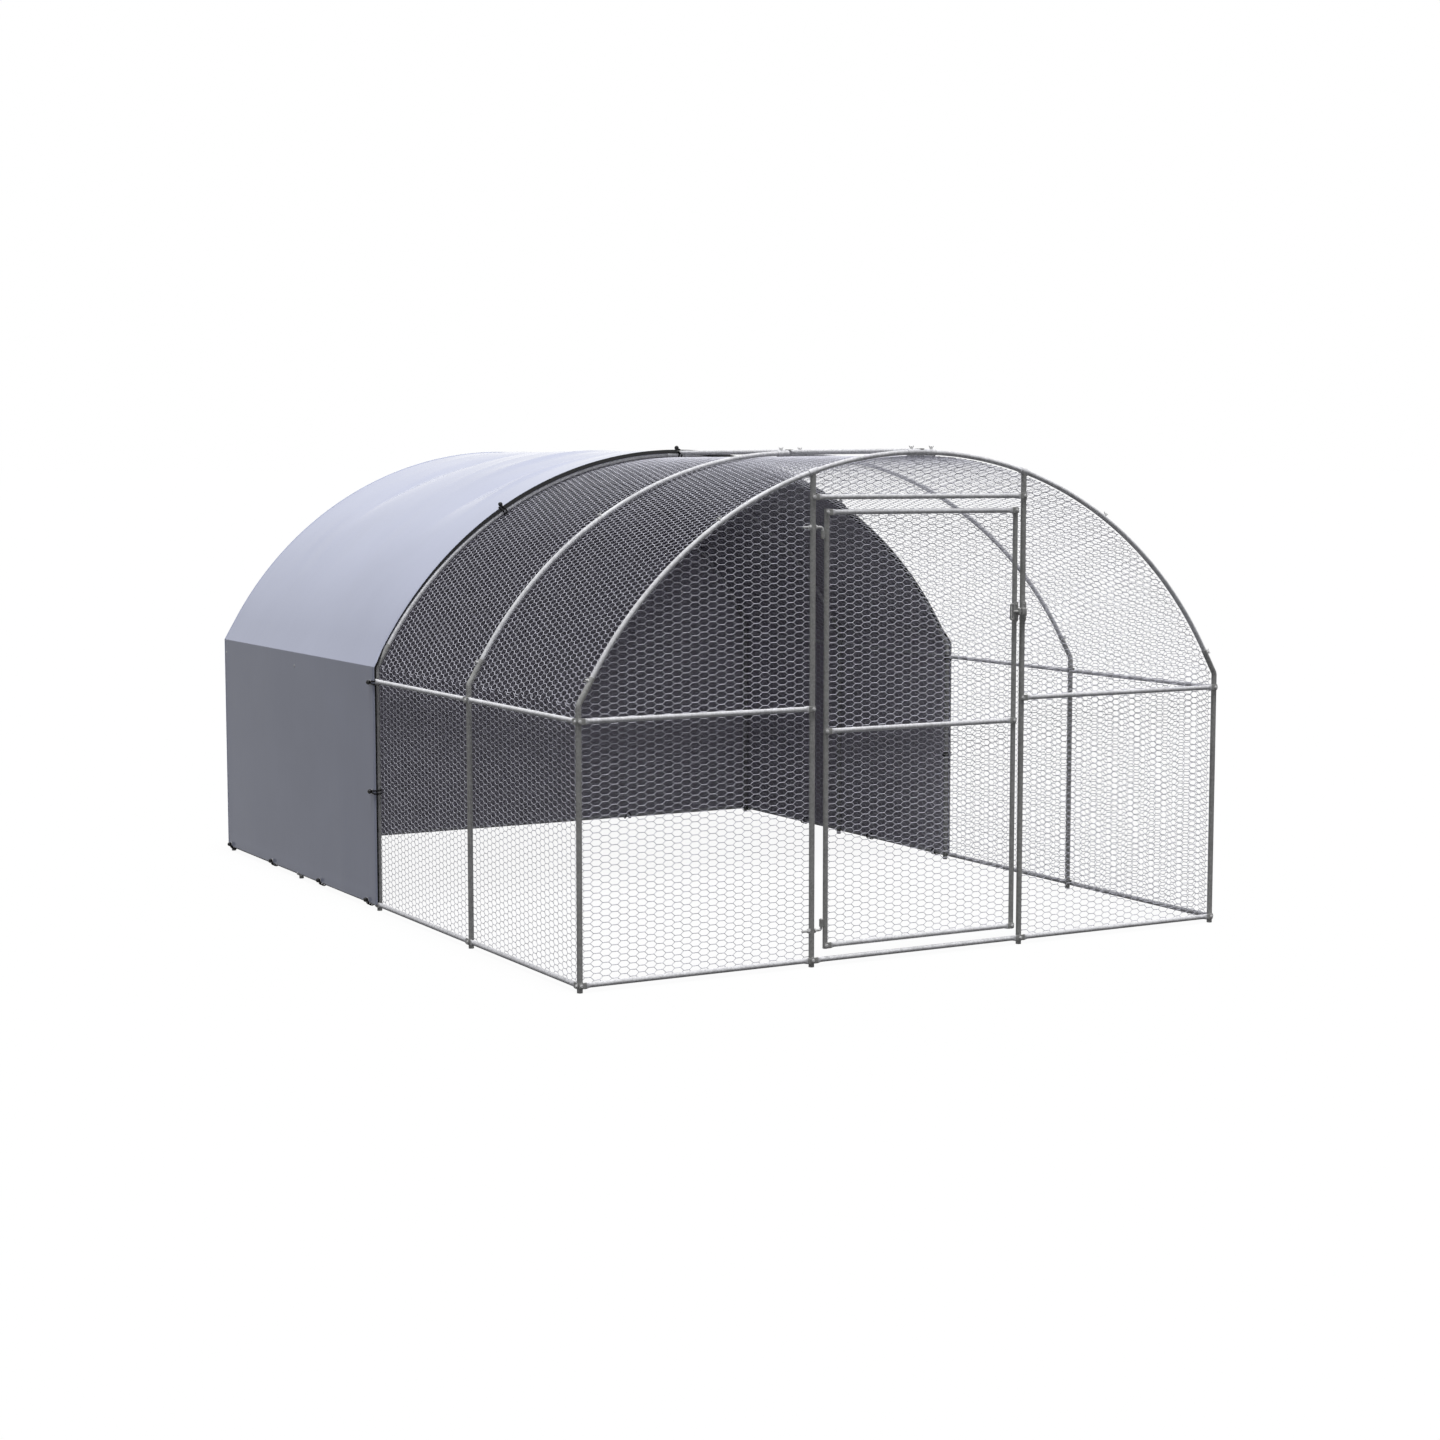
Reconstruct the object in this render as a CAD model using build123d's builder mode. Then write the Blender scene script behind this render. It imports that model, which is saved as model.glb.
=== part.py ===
"""Walk-in poultry run of galvanised tube: five arches, wire netting, a hinged front door and a rain cover.

Millimetres. X runs left to right, Y from the door at the front to the rear, Z up from the ground.
"""

import os
from math import asin, ceil, cos, degrees, floor, hypot, radians, sin, sqrt, tan

from build123d import *

# Grid of the frame
SPAN = 2978.0  # between the axes of the left and right posts
BAY = 994.5  # between the axes of neighbouring arches
BAYS = 4
COVERED_BAYS = 2  # bays at the rear under the cover

# Heights above the ground
KINK_Z = 1064.0  # where the posts bend inwards
APEX_Z = 1986.0  # axis of the arch tubes at the top
BOTTOM_RAIL_Z = 27.0
MIDDLE_RAIL_Z = 1005.0
HEADER_DROP = 96.0  # from the arch above a door post down to the header

# Tubes
POST_OD = 22.0
POST_WALL = 1.0
SLIP = 0.2  # radial room between tubes that slide into each other
ELBOW_LENGTH = 115.0  # straight bent top of a post
SOCKET_DEPTH = 60.0  # how far an arch tube goes into it
TUBE_SIDES = 12  # the many straight tubes have a twelve-sided section, which keeps them light
BEND_SIDES = 8  # and the bent tubes, their sleeves, the rods and their bores an eight-sided one
ARCH_JOINT_X = 909.0  # where the lower and upper arch tubes meet
JOINT_GAP = 0.3  # between the two upper tubes at the top of an arch
RAIL_OD = 20.0
TAB_THICKNESS = 2.0  # pressed flat end of a rail
TAB_HEIGHT = 24.0
TAB_REACH = 9.0  # how far a tab runs past the axis of its post
TAB_CORNER = 5.0
CRIMP_LENGTH = 22.0  # slanted stretch between a rail's round part and its tab

# Sleeves around the arch tubes
SLEEVE_WALL = 3.0
APEX_SLEEVE_LENGTH = 130.0
COLLAR_LENGTH = 42.0

# Door posts and door
DOOR_POST_X = 492.0
STILE_OD = 20.0
STILE_WALL = 1.0
DOOR_LOW_Z = 67.0
DOOR_TOP_GAP = 45.0  # from the header's axis down to the top of the door
DOOR_RAIL_INSET = 13.0  # from a stile's end to the axis of the rail there
DOOR_MIDDLE_RAIL_Z = 916.0
LATCH_SIDE_GAP = 18.0  # free gap between the right stile and its post

# Hinges
PINTLE_DIAMETER = 10.0
PINTLE_REACH = 44.0  # from the post's axis to the hinge axis
PINTLE_TAIL = 44.0  # from the post's axis to the threaded end
PINTLE_BEND = 10.0
PINTLE_FIT = 0.1  # radial room of the pin in its sleeve and of the bolt in its post
PINTLE_NUT_WIDTH = 17.0
PINTLE_NUT_HEIGHT = 7.0
HINGE_SLEEVE_OD = 16.0
HINGE_SLEEVE_LENGTH = 30.0
HINGE_END_PLAY = 2.5  # between a hinge bolt's bend and its sleeve
PIN_PROUD = 2.0  # how far a pin stands out of its sleeve
UPPER_PINTLE_DROP = 70.0  # from the top of the door
LOWER_PINTLE_RISE = 75.0  # from the bottom of the door

# Latch
LATCH_Z = 1353.0
BOLT_DIAMETER = 12.0
BOLT_FIT = 0.3
BOLT_GAP = 1.5  # free space between the drawn bolt and the keeper
BOLT_TRAVEL = 16.0
LATCH_PLATE = 3.0
LATCH_PLATE_HEIGHT = 80.0
LATCH_PLATE_WIDTH = 20.0
LATCH_BLOCK_HEIGHT = 30.0
LATCH_BLOCK_DEPTH = 15.0
LATCH_BLOCK_CORNER = 4.0
GUIDE_LENGTH = 11.0
GUIDE_OVERHANG = 3.5  # the guide reaches this far past the stile, towards the post
KEEPER_LENGTH = 22.0
HANDLE_HEIGHT = 68.0
HANDLE_WIDTH = 21.0
HANDLE_BAR = 7.0
HANDLE_CORNER = 8.0
HANDLE_CLEARANCE = 2.0  # left between handle and guide when the bolt is home

# Wire netting
NET_THICKNESS = 2.0
NET_CLEARANCE = 0.3
NET_STRAND = 10.0
NET_BORDER = 14.0
CELL_POINT = 260.0  # middle of a cell to its left or right point, thirteen times the real wire's
CELL_FLAT = 140.0  # middle of a cell to the end of its flat side
CELL_RISE = 162.5  # middle of a cell to its flat side
ROOF_CUT = 12.0  # the roof net's gaps are cut this far to both sides of their own flat
LEAST_GAP = 2500.0  # smaller slices of a cell at a net's edge stay closed, in square millimetres

# Cover and its ball bungees
COVER_CLEARANCE = 0.5
COVER_THICKNESS = 2.0
COVER_LOW_Z = 28.0
COVER_SETBACK = 13.0  # from the axis of the first covered arch to the cover's front edge
BALL_DIAMETER = 24.0
BALL_CORNER = 7.0
BALL_CLEARANCE = 0.3
BALL_HEM = 8.0  # height of the lower balls above the hem
BALL_INSET = 12.0  # from the cover's front edge to the balls along it
FRONT_BALL_Z = (523.0, 1000.0)
ROOF_BALL_X = (-880.0, 0.0, 880.0)
HEM_BALL_SHARES = (0.04, 0.34, 0.67, 0.98)
REAR_BALL_X = (-745.0, 745.0)

# Worked out from the sizes above
HALF_SPAN = SPAN / 2
POST_R = POST_OD / 2
POST_BORE = POST_OD - 2 * POST_WALL
ARCH_R = POST_BORE / 2 - SLIP
SLEEVE_BORE_R = ARCH_R + SLIP
SLEEVE_R = SLEEVE_BORE_R + SLEEVE_WALL
RAIL_R = RAIL_OD / 2
STILE_R = STILE_OD / 2
PINTLE_R = PINTLE_DIAMETER / 2
HINGE_SLEEVE_R = HINGE_SLEEVE_OD / 2

# The arch: a straight elbow on each side, then one arc that is tangent to both elbows
RISE = APEX_Z - KINK_Z
TANGENT = (HALF_SPAN**2 + RISE**2 - ELBOW_LENGTH**2) / (2 * HALF_SPAN + 2 * ELBOW_LENGTH)
ARC_ANGLE = degrees(asin(RISE / (TANGENT + ELBOW_LENGTH)))
ARCH_RADIUS = TANGENT / tan(radians(ARC_ANGLE / 2))
CENTRE_Z = APEX_Z - ARCH_RADIUS
TILT = 90.0 - ARC_ANGLE
JOINT_ANGLE = degrees(asin(ARCH_JOINT_X / ARCH_RADIUS))
GAP_ANGLE = degrees(JOINT_GAP / 2 / ARCH_RADIUS)
DOOR_POST_ANGLE = degrees(asin(DOOR_POST_X / ARCH_RADIUS))
HEADER_Z = CENTRE_Z + ARCH_RADIUS * cos(radians(DOOR_POST_ANGLE)) - HEADER_DROP

# Offsets from the arch line: minus is inside, plus is outside
SIDE_NET = -(POST_R + NET_CLEARANCE)
ROOF_NET = -(SLEEVE_R + NET_CLEARANCE)
ROOF_NET_RADIUS = ARCH_RADIUS + ROOF_NET
ROOF_NET_SAG = ROOF_NET_RADIUS * (1 - cos(CELL_RISE / ROOF_NET_RADIUS / 2))
END_NET_EDGE = ROOF_NET - NET_THICKNESS - ROOF_NET_SAG - NET_CLEARANCE
COVER_INNER = max(POST_R, SLEEVE_R) + 2 * TAB_THICKNESS + COVER_CLEARANCE
COVER_OUTER = COVER_INNER + COVER_THICKNESS

# The middle of the overall length lies on Y = 0
REAR_REACH = COVER_OUTER + BALL_CLEARANCE + BALL_DIAMETER
FRONT_REACH = POST_R + LATCH_PLATE + LATCH_BLOCK_DEPTH
FRONT_Y = -(BAYS * BAY + REAR_REACH - FRONT_REACH) / 2
ARCH_Y = [FRONT_Y + number * BAY for number in range(BAYS + 1)]
REAR_Y = ARCH_Y[-1]
COVER_FRONT_Y = ARCH_Y[BAYS - COVERED_BAYS] + COVER_SETBACK
COVER_REAR_Y = REAR_Y + COVER_INNER

# Places on the door
DOOR_HIGH_Z = HEADER_Z - DOOR_TOP_GAP
DOOR_BOTTOM_RAIL_Z = DOOR_LOW_Z + DOOR_RAIL_INSET
DOOR_TOP_RAIL_Z = DOOR_HIGH_Z - DOOR_RAIL_INSET
UPPER_PINTLE_Z = DOOR_HIGH_Z - UPPER_PINTLE_DROP
LOWER_PINTLE_Z = DOOR_LOW_Z + LOWER_PINTLE_RISE
HINGE_X = -DOOR_POST_X + PINTLE_REACH
LEFT_STILE_X = HINGE_X + HINGE_SLEEVE_R + STILE_R
RIGHT_STILE_X = DOOR_POST_X - POST_R - LATCH_SIDE_GAP - STILE_R
LATCH_Y = FRONT_Y - POST_R - LATCH_PLATE - LATCH_BLOCK_DEPTH / 2
GUIDE_RIGHT_X = RIGHT_STILE_X + STILE_R + GUIDE_OVERHANG
GUIDE_LEFT_X = GUIDE_RIGHT_X - GUIDE_LENGTH
KEEPER_LEFT_X = DOOR_POST_X - POST_R - LATCH_SIDE_GAP / 2
HANDLE_RIGHT_X = GUIDE_LEFT_X - BOLT_TRAVEL - HANDLE_CLEARANCE
BOLT_TIP_X = KEEPER_LEFT_X - BOLT_GAP

os.makedirs("parts", exist_ok=True)


def keep(piece, label):
    """Names a finished piece and writes it."""
    piece.label = label
    export_step(piece, f"parts/{label}.step")


def upright_plane(y):
    """Plane across the run at y, with its own X to the right and Y up. Its normal points to the front."""
    return Plane(origin=(0, y, 0), x_dir=(1, 0, 0), z_dir=(0, -1, 0))


def tube_section(radius, mode=Mode.ADD):
    """Draws the section of a straight tube; radius is the distance to its flats, which face both axes."""
    RegularPolygon(radius, TUBE_SIDES, major_radius=False, rotation=180 / TUBE_SIDES, mode=mode)


def rod_section(radius):
    """Draws the section of a bent tube or of a rod; its corners lie on the radius."""
    RegularPolygon(radius, BEND_SIDES, rotation=180 / BEND_SIDES)


def bore_section(radius, mode=Mode.ADD):
    """Draws the section of a bore for a rod, or of a sleeve; radius is the distance to its flats."""
    RegularPolygon(radius, BEND_SIDES, major_radius=False, rotation=180 / BEND_SIDES, mode=mode)


def arch_plane(angle, y):
    """Plane square to the arch at an angle from the top; its normal runs along the arch to the right."""
    turn = radians(angle)
    middle = (ARCH_RADIUS * sin(turn), y, CENTRE_Z + ARCH_RADIUS * cos(turn))
    return Plane(origin=middle, x_dir=(0, 1, 0), z_dir=(cos(turn), 0, -sin(turn)))


def arch_axis(y):
    """Axis that the arch at y is bent around; a turn about it runs down to the right."""
    return Axis((0, y, CENTRE_Z), (0, 1, 0))


def kink_point(offset):
    """Right-hand kink of the arch line, moved outwards by offset."""
    return HALF_SPAN + offset, KINK_Z + offset * tan(radians(TILT / 2))


def arc_end(offset):
    """Right-hand end of the arc, moved outwards by offset."""
    turn = radians(ARC_ANGLE)
    return (ARCH_RADIUS + offset) * sin(turn), CENTRE_Z + (ARCH_RADIUS + offset) * cos(turn)


def arch_height(x, offset):
    """Height of the arc, moved outwards by offset, above a place x."""
    return CENTRE_Z + sqrt((ARCH_RADIUS + offset) ** 2 - x**2)


def mirrored(point):
    return -point[0], point[1]


def roof_line(offset):
    """Draws the arch line from the left kink over the top to the right kink, moved outwards by offset."""
    Line(mirrored(kink_point(offset)), mirrored(arc_end(offset)))
    ThreePointArc(mirrored(arc_end(offset)), (0, APEX_Z + offset), arc_end(offset))
    Line(arc_end(offset), kink_point(offset))


# Frame: posts, arches and their sleeves


def make_post(side, y):
    """Side post: an open tube with its top bent inwards."""
    foot = (side * HALF_SPAN, y, 0)
    kink = (side * HALF_SPAN, y, KINK_Z)
    top_x = HALF_SPAN - ELBOW_LENGTH * sin(radians(TILT))
    top = (side * top_x, y, KINK_Z + ELBOW_LENGTH * cos(radians(TILT)))
    with BuildPart() as post:
        with BuildLine() as route:
            Polyline(foot, kink, top)
        with BuildSketch(Plane(origin=foot, x_dir=(1, 0, 0), z_dir=(0, 0, 1))):
            tube_section(POST_R)
            tube_section(POST_BORE / 2, Mode.SUBTRACT)
        sweep(path=route.wires()[0], transition=Transition.RIGHT)
    return post.part


def arch_tube(start, stop, y, spigot):
    """One curved tube of an arch, from a start down to a stop angle, with a straight end for its elbow."""
    with BuildPart() as tube:
        with BuildSketch(arch_plane(start, y)):
            rod_section(ARCH_R)
        revolve(axis=arch_axis(y), revolution_arc=stop - start)
        if spigot:
            with BuildSketch(arch_plane(stop, y)):
                rod_section(ARCH_R)
            extrude(amount=spigot)
    return tube.part


def make_arch(y):
    """The four tubes of one arch: an upper and a lower one on each side."""
    upper = arch_tube(GAP_ANGLE, JOINT_ANGLE, y, 0)
    lower = arch_tube(JOINT_ANGLE, ARC_ANGLE, y, SOCKET_DEPTH)
    return Compound(children=[upper, lower, mirror(upper, about=Plane.YZ), mirror(lower, about=Plane.YZ)])


def sleeve_span(length):
    """Angle that a sleeve of this length takes up on its arch."""
    return degrees(length / ARCH_RADIUS)


def make_sleeve(angle, length, y):
    """Bent sleeve around an arch's tubes, with its middle at an angle from the top."""
    with BuildPart() as sleeve:
        with BuildSketch(arch_plane(angle - sleeve_span(length) / 2, y)):
            bore_section(SLEEVE_R)
            bore_section(SLEEVE_BORE_R, Mode.SUBTRACT)
        revolve(axis=arch_axis(y), revolution_arc=sleeve_span(length))
    return sleeve.part


for number, y in enumerate(ARCH_Y, start=1):
    keep(make_post(-1, y), f"post_{number}_left")
    keep(make_post(1, y), f"post_{number}_right")
    keep(make_arch(y), f"arch_{number}")

keep(Compound(children=[make_sleeve(0, APEX_SLEEVE_LENGTH, y) for y in ARCH_Y]), "apex_sleeves")
collars = [make_sleeve(side * DOOR_POST_ANGLE, COLLAR_LENGTH, FRONT_Y) for side in (-1, 1)]
keep(Compound(children=collars), "door_post_collars")


# Frame: rails with pressed flat ends


def make_rail(start, along, outward, span, seat_radius=POST_R, layer=0):
    """Tube between two posts, whose axes are span apart, with a flat tab on the outer side of each.

    start is the point on the first post's axis. The tabs of neighbouring rails lie on each other in layers.
    """
    start, along, outward = Vector(start), Vector(along), Vector(outward)
    seat = seat_radius + layer * TAB_THICKNESS
    axis = start + outward * (seat + TAB_THICKNESS - RAIL_R)
    clear = seat_radius + SLIP
    tab_length = TAB_REACH + clear + CRIMP_LENGTH / 2
    with BuildPart() as rail:
        with BuildSketch(Plane(origin=axis + along * clear, x_dir=outward, z_dir=along)):
            tube_section(RAIL_R)
        extrude(amount=span - 2 * clear)
        for end, inward in ((clear, along), (span - clear, along * -1)):
            edge = axis + along * end + outward * (RAIL_R - TAB_THICKNESS)
            lean = inward * (RAIL_OD - TAB_THICKNESS) + outward * CRIMP_LENGTH
            split(bisect_by=Plane(origin=edge, z_dir=lean), keep=Keep.TOP)
        with BuildSketch(Plane(origin=start + outward * seat, x_dir=along, z_dir=outward)) as tabs:
            with Locations((tab_length / 2 - TAB_REACH, 0), (span + TAB_REACH - tab_length / 2, 0)):
                Rectangle(tab_length, TAB_HEIGHT)
            chamfer([corner for corner in tabs.vertices() if not 0 < corner.X < span], length=TAB_CORNER)
        extrude(amount=TAB_THICKNESS)
    return rail.part


def make_side_rails(side, z):
    """The rails of one side at one height, one in each bay."""
    rails = []
    for number, y in enumerate(ARCH_Y[:-1]):
        start = (side * HALF_SPAN, y, z)
        rails.append(make_rail(start, (0, 1, 0), (side, 0, 0), BAY, layer=number % 2))
    return Compound(children=rails)


for side, name in ((-1, "left"), (1, "right")):
    keep(make_side_rails(side, BOTTOM_RAIL_Z), f"{name}_bottom_rails")
    keep(make_side_rails(side, MIDDLE_RAIL_Z), f"{name}_middle_rails")

ridge_tubes = []
for number, y in enumerate(ARCH_Y[:-1]):
    ridge_tubes.append(make_rail((0, y, APEX_Z), (0, 1, 0), (0, 0, 1), BAY, SLEEVE_R, number % 2))
keep(Compound(children=ridge_tubes), "ridge_tubes")

FRONT, REAR, RIGHT = (0, -1, 0), (0, 1, 0), (1, 0, 0)
SIDE_BAY = HALF_SPAN - DOOR_POST_X
DOORWAY = 2 * DOOR_POST_X
for name, z in (("bottom", BOTTOM_RAIL_Z), ("middle", MIDDLE_RAIL_Z)):
    keep(make_rail((-HALF_SPAN, FRONT_Y, z), RIGHT, FRONT, SIDE_BAY), f"front_{name}_rail_left")
    keep(make_rail((DOOR_POST_X, FRONT_Y, z), RIGHT, FRONT, SIDE_BAY), f"front_{name}_rail_right")
keep(make_rail((-DOOR_POST_X, FRONT_Y, BOTTOM_RAIL_Z), RIGHT, FRONT, DOORWAY, layer=1), "door_sill_rail")
keep(make_rail((-DOOR_POST_X, FRONT_Y, HEADER_Z), RIGHT, FRONT, DOORWAY), "door_header_rail")
keep(make_rail((-HALF_SPAN, REAR_Y, BOTTOM_RAIL_Z), RIGHT, REAR, SPAN), "rear_bottom_rail")


# Door posts, coped under the collars on the front arch


def make_door_post(side, bolt_heights=()):
    """Door post: an open tube whose top fits under its collar, with holes for the hinge bolts."""
    with BuildPart() as post:
        with BuildSketch(Plane(origin=(side * DOOR_POST_X, FRONT_Y, 0))):
            tube_section(POST_R)
            tube_section(POST_BORE / 2, Mode.SUBTRACT)
        extrude(amount=arch_height(DOOR_POST_X, 0))
        collar_start = side * DOOR_POST_ANGLE - sleeve_span(COLLAR_LENGTH) / 2
        with BuildSketch(arch_plane(collar_start, FRONT_Y)):
            bore_section(SLEEVE_R)
        revolve(axis=arch_axis(FRONT_Y), revolution_arc=sleeve_span(COLLAR_LENGTH), mode=Mode.SUBTRACT)
        for z in bolt_heights:
            with BuildSketch(Plane(origin=(side * DOOR_POST_X, FRONT_Y, z), z_dir=(1, 0, 0))):
                bore_section(PINTLE_R + PINTLE_FIT)
            extrude(amount=POST_OD, both=True, mode=Mode.SUBTRACT)
    return post.part


keep(make_door_post(-1, (UPPER_PINTLE_Z, LOWER_PINTLE_Z)), "door_post_left")
keep(make_door_post(1), "door_post_right")


# Hinges: hooked bolts through the left door post, and sleeves on the door


def sleeve_start(z, way):
    """Height of the sleeve's end next to the bend of a hinge bolt at z; way is up (1) or down (-1)."""
    return z + way * (PINTLE_BEND + HINGE_END_PLAY)


def make_pintle(z, way):
    """Hooked hinge bolt: straight through the post, then turned up or down into its pin in two mitres."""
    tail = (-DOOR_POST_X - PINTLE_TAIL, FRONT_Y, z)
    bend_start = (HINGE_X - PINTLE_BEND, FRONT_Y, z)
    bend_end = (HINGE_X, FRONT_Y, z + way * PINTLE_BEND)
    tip = (HINGE_X, FRONT_Y, sleeve_start(z, way) + way * (HINGE_SLEEVE_LENGTH + PIN_PROUD))
    with BuildPart() as pintle:
        with BuildLine() as route:
            Polyline(tail, bend_start, bend_end, tip)
        with BuildSketch(Plane(origin=tail, x_dir=(0, 1, 0), z_dir=(1, 0, 0))):
            rod_section(PINTLE_R)
        sweep(path=route.wires()[0], transition=Transition.RIGHT)
    return pintle.part


def make_pintle_nut(z, side):
    """Nut that clamps a hinge bolt to its post, on the left (-1) or right (1) of the post."""
    seat = Plane(origin=(-DOOR_POST_X + side * POST_R, FRONT_Y, z), z_dir=(side, 0, 0))
    with BuildPart() as nut:
        with BuildSketch(seat):
            RegularPolygon(PINTLE_NUT_WIDTH / 2, 6, major_radius=False)
            bore_section(PINTLE_R + PINTLE_FIT, Mode.SUBTRACT)
        extrude(amount=PINTLE_NUT_HEIGHT)
    return nut.part


def make_hinge_sleeve(z, way):
    """Sleeve for a hinge pin, with its flat on the flat of the door's stile."""
    with BuildPart() as sleeve:
        with BuildSketch(Plane(origin=(HINGE_X, FRONT_Y, sleeve_start(z, way)))):
            tube_section(HINGE_SLEEVE_R)
            bore_section(PINTLE_R + PINTLE_FIT, Mode.SUBTRACT)
        extrude(amount=way * HINGE_SLEEVE_LENGTH)
    return sleeve.part


pintles = [make_pintle(UPPER_PINTLE_Z, -1), make_pintle(LOWER_PINTLE_Z, 1)]
keep(Compound(children=pintles), "hinge_bolts")
pintle_nuts = [make_pintle_nut(z, side) for z in (UPPER_PINTLE_Z, LOWER_PINTLE_Z) for side in (-1, 1)]
keep(Compound(children=pintle_nuts), "hinge_nuts")
hinge_sleeves = [make_hinge_sleeve(UPPER_PINTLE_Z, -1), make_hinge_sleeve(LOWER_PINTLE_Z, 1)]
keep(Compound(children=hinge_sleeves), "door_hinge_sleeves")


# Door frame


def make_stile(x):
    """Upright tube of the door."""
    with BuildPart() as stile:
        with BuildSketch(Plane(origin=(x, FRONT_Y, DOOR_LOW_Z))):
            tube_section(STILE_R)
            tube_section(STILE_R - STILE_WALL, Mode.SUBTRACT)
        extrude(amount=DOOR_HIGH_Z - DOOR_LOW_Z)
    return stile.part


keep(make_stile(LEFT_STILE_X), "door_stile_left")
keep(make_stile(RIGHT_STILE_X), "door_stile_right")
DOOR_SPAN = RIGHT_STILE_X - LEFT_STILE_X
door_rails = (("bottom", DOOR_BOTTOM_RAIL_Z), ("middle", DOOR_MIDDLE_RAIL_Z), ("top", DOOR_TOP_RAIL_Z))
for name, z in door_rails:
    keep(make_rail((LEFT_STILE_X, FRONT_Y, z), RIGHT, FRONT, DOOR_SPAN, STILE_R), f"door_{name}_rail")


# Latch: a bolt with a loop handle, its guide on the door and its keeper on the post


def make_latch_block(tube_x, tube_radius, left, length):
    """Plate on the front of a tube, with a block that the bolt slides through."""
    plate_y = FRONT_Y - tube_radius
    block_y = FRONT_Y - POST_R - LATCH_PLATE
    with BuildPart() as block:
        with BuildSketch(Plane(origin=(tube_x, plate_y, LATCH_Z), x_dir=(1, 0, 0), z_dir=FRONT)) as plate:
            Rectangle(LATCH_PLATE_WIDTH, LATCH_PLATE_HEIGHT)
            chamfer(plate.vertices(), length=LATCH_BLOCK_CORNER)
        extrude(amount=plate_y - block_y)
        with BuildSketch(Plane(origin=(left, LATCH_Y, LATCH_Z), x_dir=(0, 1, 0), z_dir=RIGHT)) as profile:
            Rectangle(LATCH_BLOCK_DEPTH, LATCH_BLOCK_HEIGHT)
            chamfer(profile.vertices().group_by(Axis.X)[0], length=LATCH_BLOCK_CORNER)
        extrude(amount=length)
        with BuildSketch(Plane(origin=(left, LATCH_Y, LATCH_Z), z_dir=RIGHT)):
            bore_section(BOLT_DIAMETER / 2 + BOLT_FIT)
        extrude(amount=length, mode=Mode.SUBTRACT)
    return block.part


def make_latch_bolt():
    """Round bolt with a loop handle at its left end."""
    handle_x = HANDLE_RIGHT_X - HANDLE_WIDTH / 2
    with BuildPart() as bolt:
        with BuildSketch(Plane(origin=(HANDLE_RIGHT_X - HANDLE_BAR / 2, LATCH_Y, LATCH_Z), z_dir=RIGHT)):
            rod_section(BOLT_DIAMETER / 2)
        extrude(amount=BOLT_TIP_X - HANDLE_RIGHT_X + HANDLE_BAR / 2)
        with BuildSketch(Plane(origin=(handle_x, LATCH_Y, LATCH_Z), x_dir=(1, 0, 0), z_dir=FRONT)) as loop:
            Rectangle(HANDLE_WIDTH, HANDLE_HEIGHT)
            chamfer(loop.vertices(), length=HANDLE_CORNER)
            offset(amount=-HANDLE_BAR, kind=Kind.INTERSECTION, mode=Mode.SUBTRACT)
        extrude(amount=HANDLE_BAR / 2, both=True)
    return bolt.part


keep(make_latch_block(RIGHT_STILE_X, STILE_R, GUIDE_LEFT_X, GUIDE_LENGTH), "latch_guide")
keep(make_latch_block(DOOR_POST_X, POST_R, KEEPER_LEFT_X, KEEPER_LENGTH), "latch_keeper")
keep(make_latch_bolt(), "latch_bolt")


# Wire netting: flat nets are one holed sheet, the roof net a curved sheet


def cells(left, right, low, high):
    """Middles of the hexagonal cells that cover a rectangle."""
    column_step = CELL_POINT + CELL_FLAT
    middles = []
    column, x = 0, left
    while x <= right + CELL_POINT:
        z = low + (column % 2) * CELL_RISE
        while z <= high + CELL_RISE:
            middles.append((x, z))
            z += 2 * CELL_RISE
        x += column_step
        column += 1
    return middles


def cell_corners():
    """Corners of one gap: the cell's hexagon, drawn in by half a strand on every side."""
    lean = hypot(CELL_POINT - CELL_FLAT, CELL_RISE)
    rise = CELL_RISE - NET_STRAND / 2
    point = CELL_POINT - NET_STRAND / 2 * lean / CELL_RISE
    flat = point - rise * (CELL_POINT - CELL_FLAT) / CELL_RISE
    return (point, 0), (flat, rise), (-flat, rise), (-point, 0), (-flat, -rise), (flat, -rise)


def net_gaps(outline, left, right, low, high):
    """Gaps of a net in a rectangle, cut off a border's width inside the outline."""
    with BuildSketch() as gaps:
        with Locations(*cells(left, right, low, high)):
            Polygon(*cell_corners(), align=None)
        with BuildSketch(mode=Mode.INTERSECT):
            with BuildLine():
                outline(NET_BORDER)
            make_face()
    return [gap for gap in gaps.faces() if gap.area > LEAST_GAP]


def make_flat_net(plane, outline, gaps):
    """Net in one plane: one holed sheet."""
    with BuildPart() as net:
        with BuildSketch(plane):
            with BuildLine():
                outline(0)
            make_face()
            add(gaps, mode=Mode.SUBTRACT)
        extrude(amount=NET_THICKNESS)
    return net.part


def box_outline(left, right, low, high):
    """Outline of a rectangular net."""

    def draw(border):
        first, last = (left + border, low + border), (right - border, high - border)
        Polyline(first, (last[0], first[1]), last, (first[0], last[1]), close=True)

    return draw


def side_outline(inner, low):
    """Outline of the net right of the door, which fills the arch from inner to its edge."""

    def draw(border):
        edge = END_NET_EDGE - border
        left, bottom = inner + border, low + border
        top = arch_height(left, edge)
        radius = ARCH_RADIUS + edge
        middle_turn = (asin(left / radius) + radians(ARC_ANGLE)) / 2
        middle = (radius * sin(middle_turn), CENTRE_Z + radius * cos(middle_turn))
        Polyline(arc_end(edge), kink_point(edge), (HALF_SPAN + edge, bottom), (left, bottom), (left, top))
        ThreePointArc((left, top), middle, arc_end(edge))

    return draw


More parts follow.
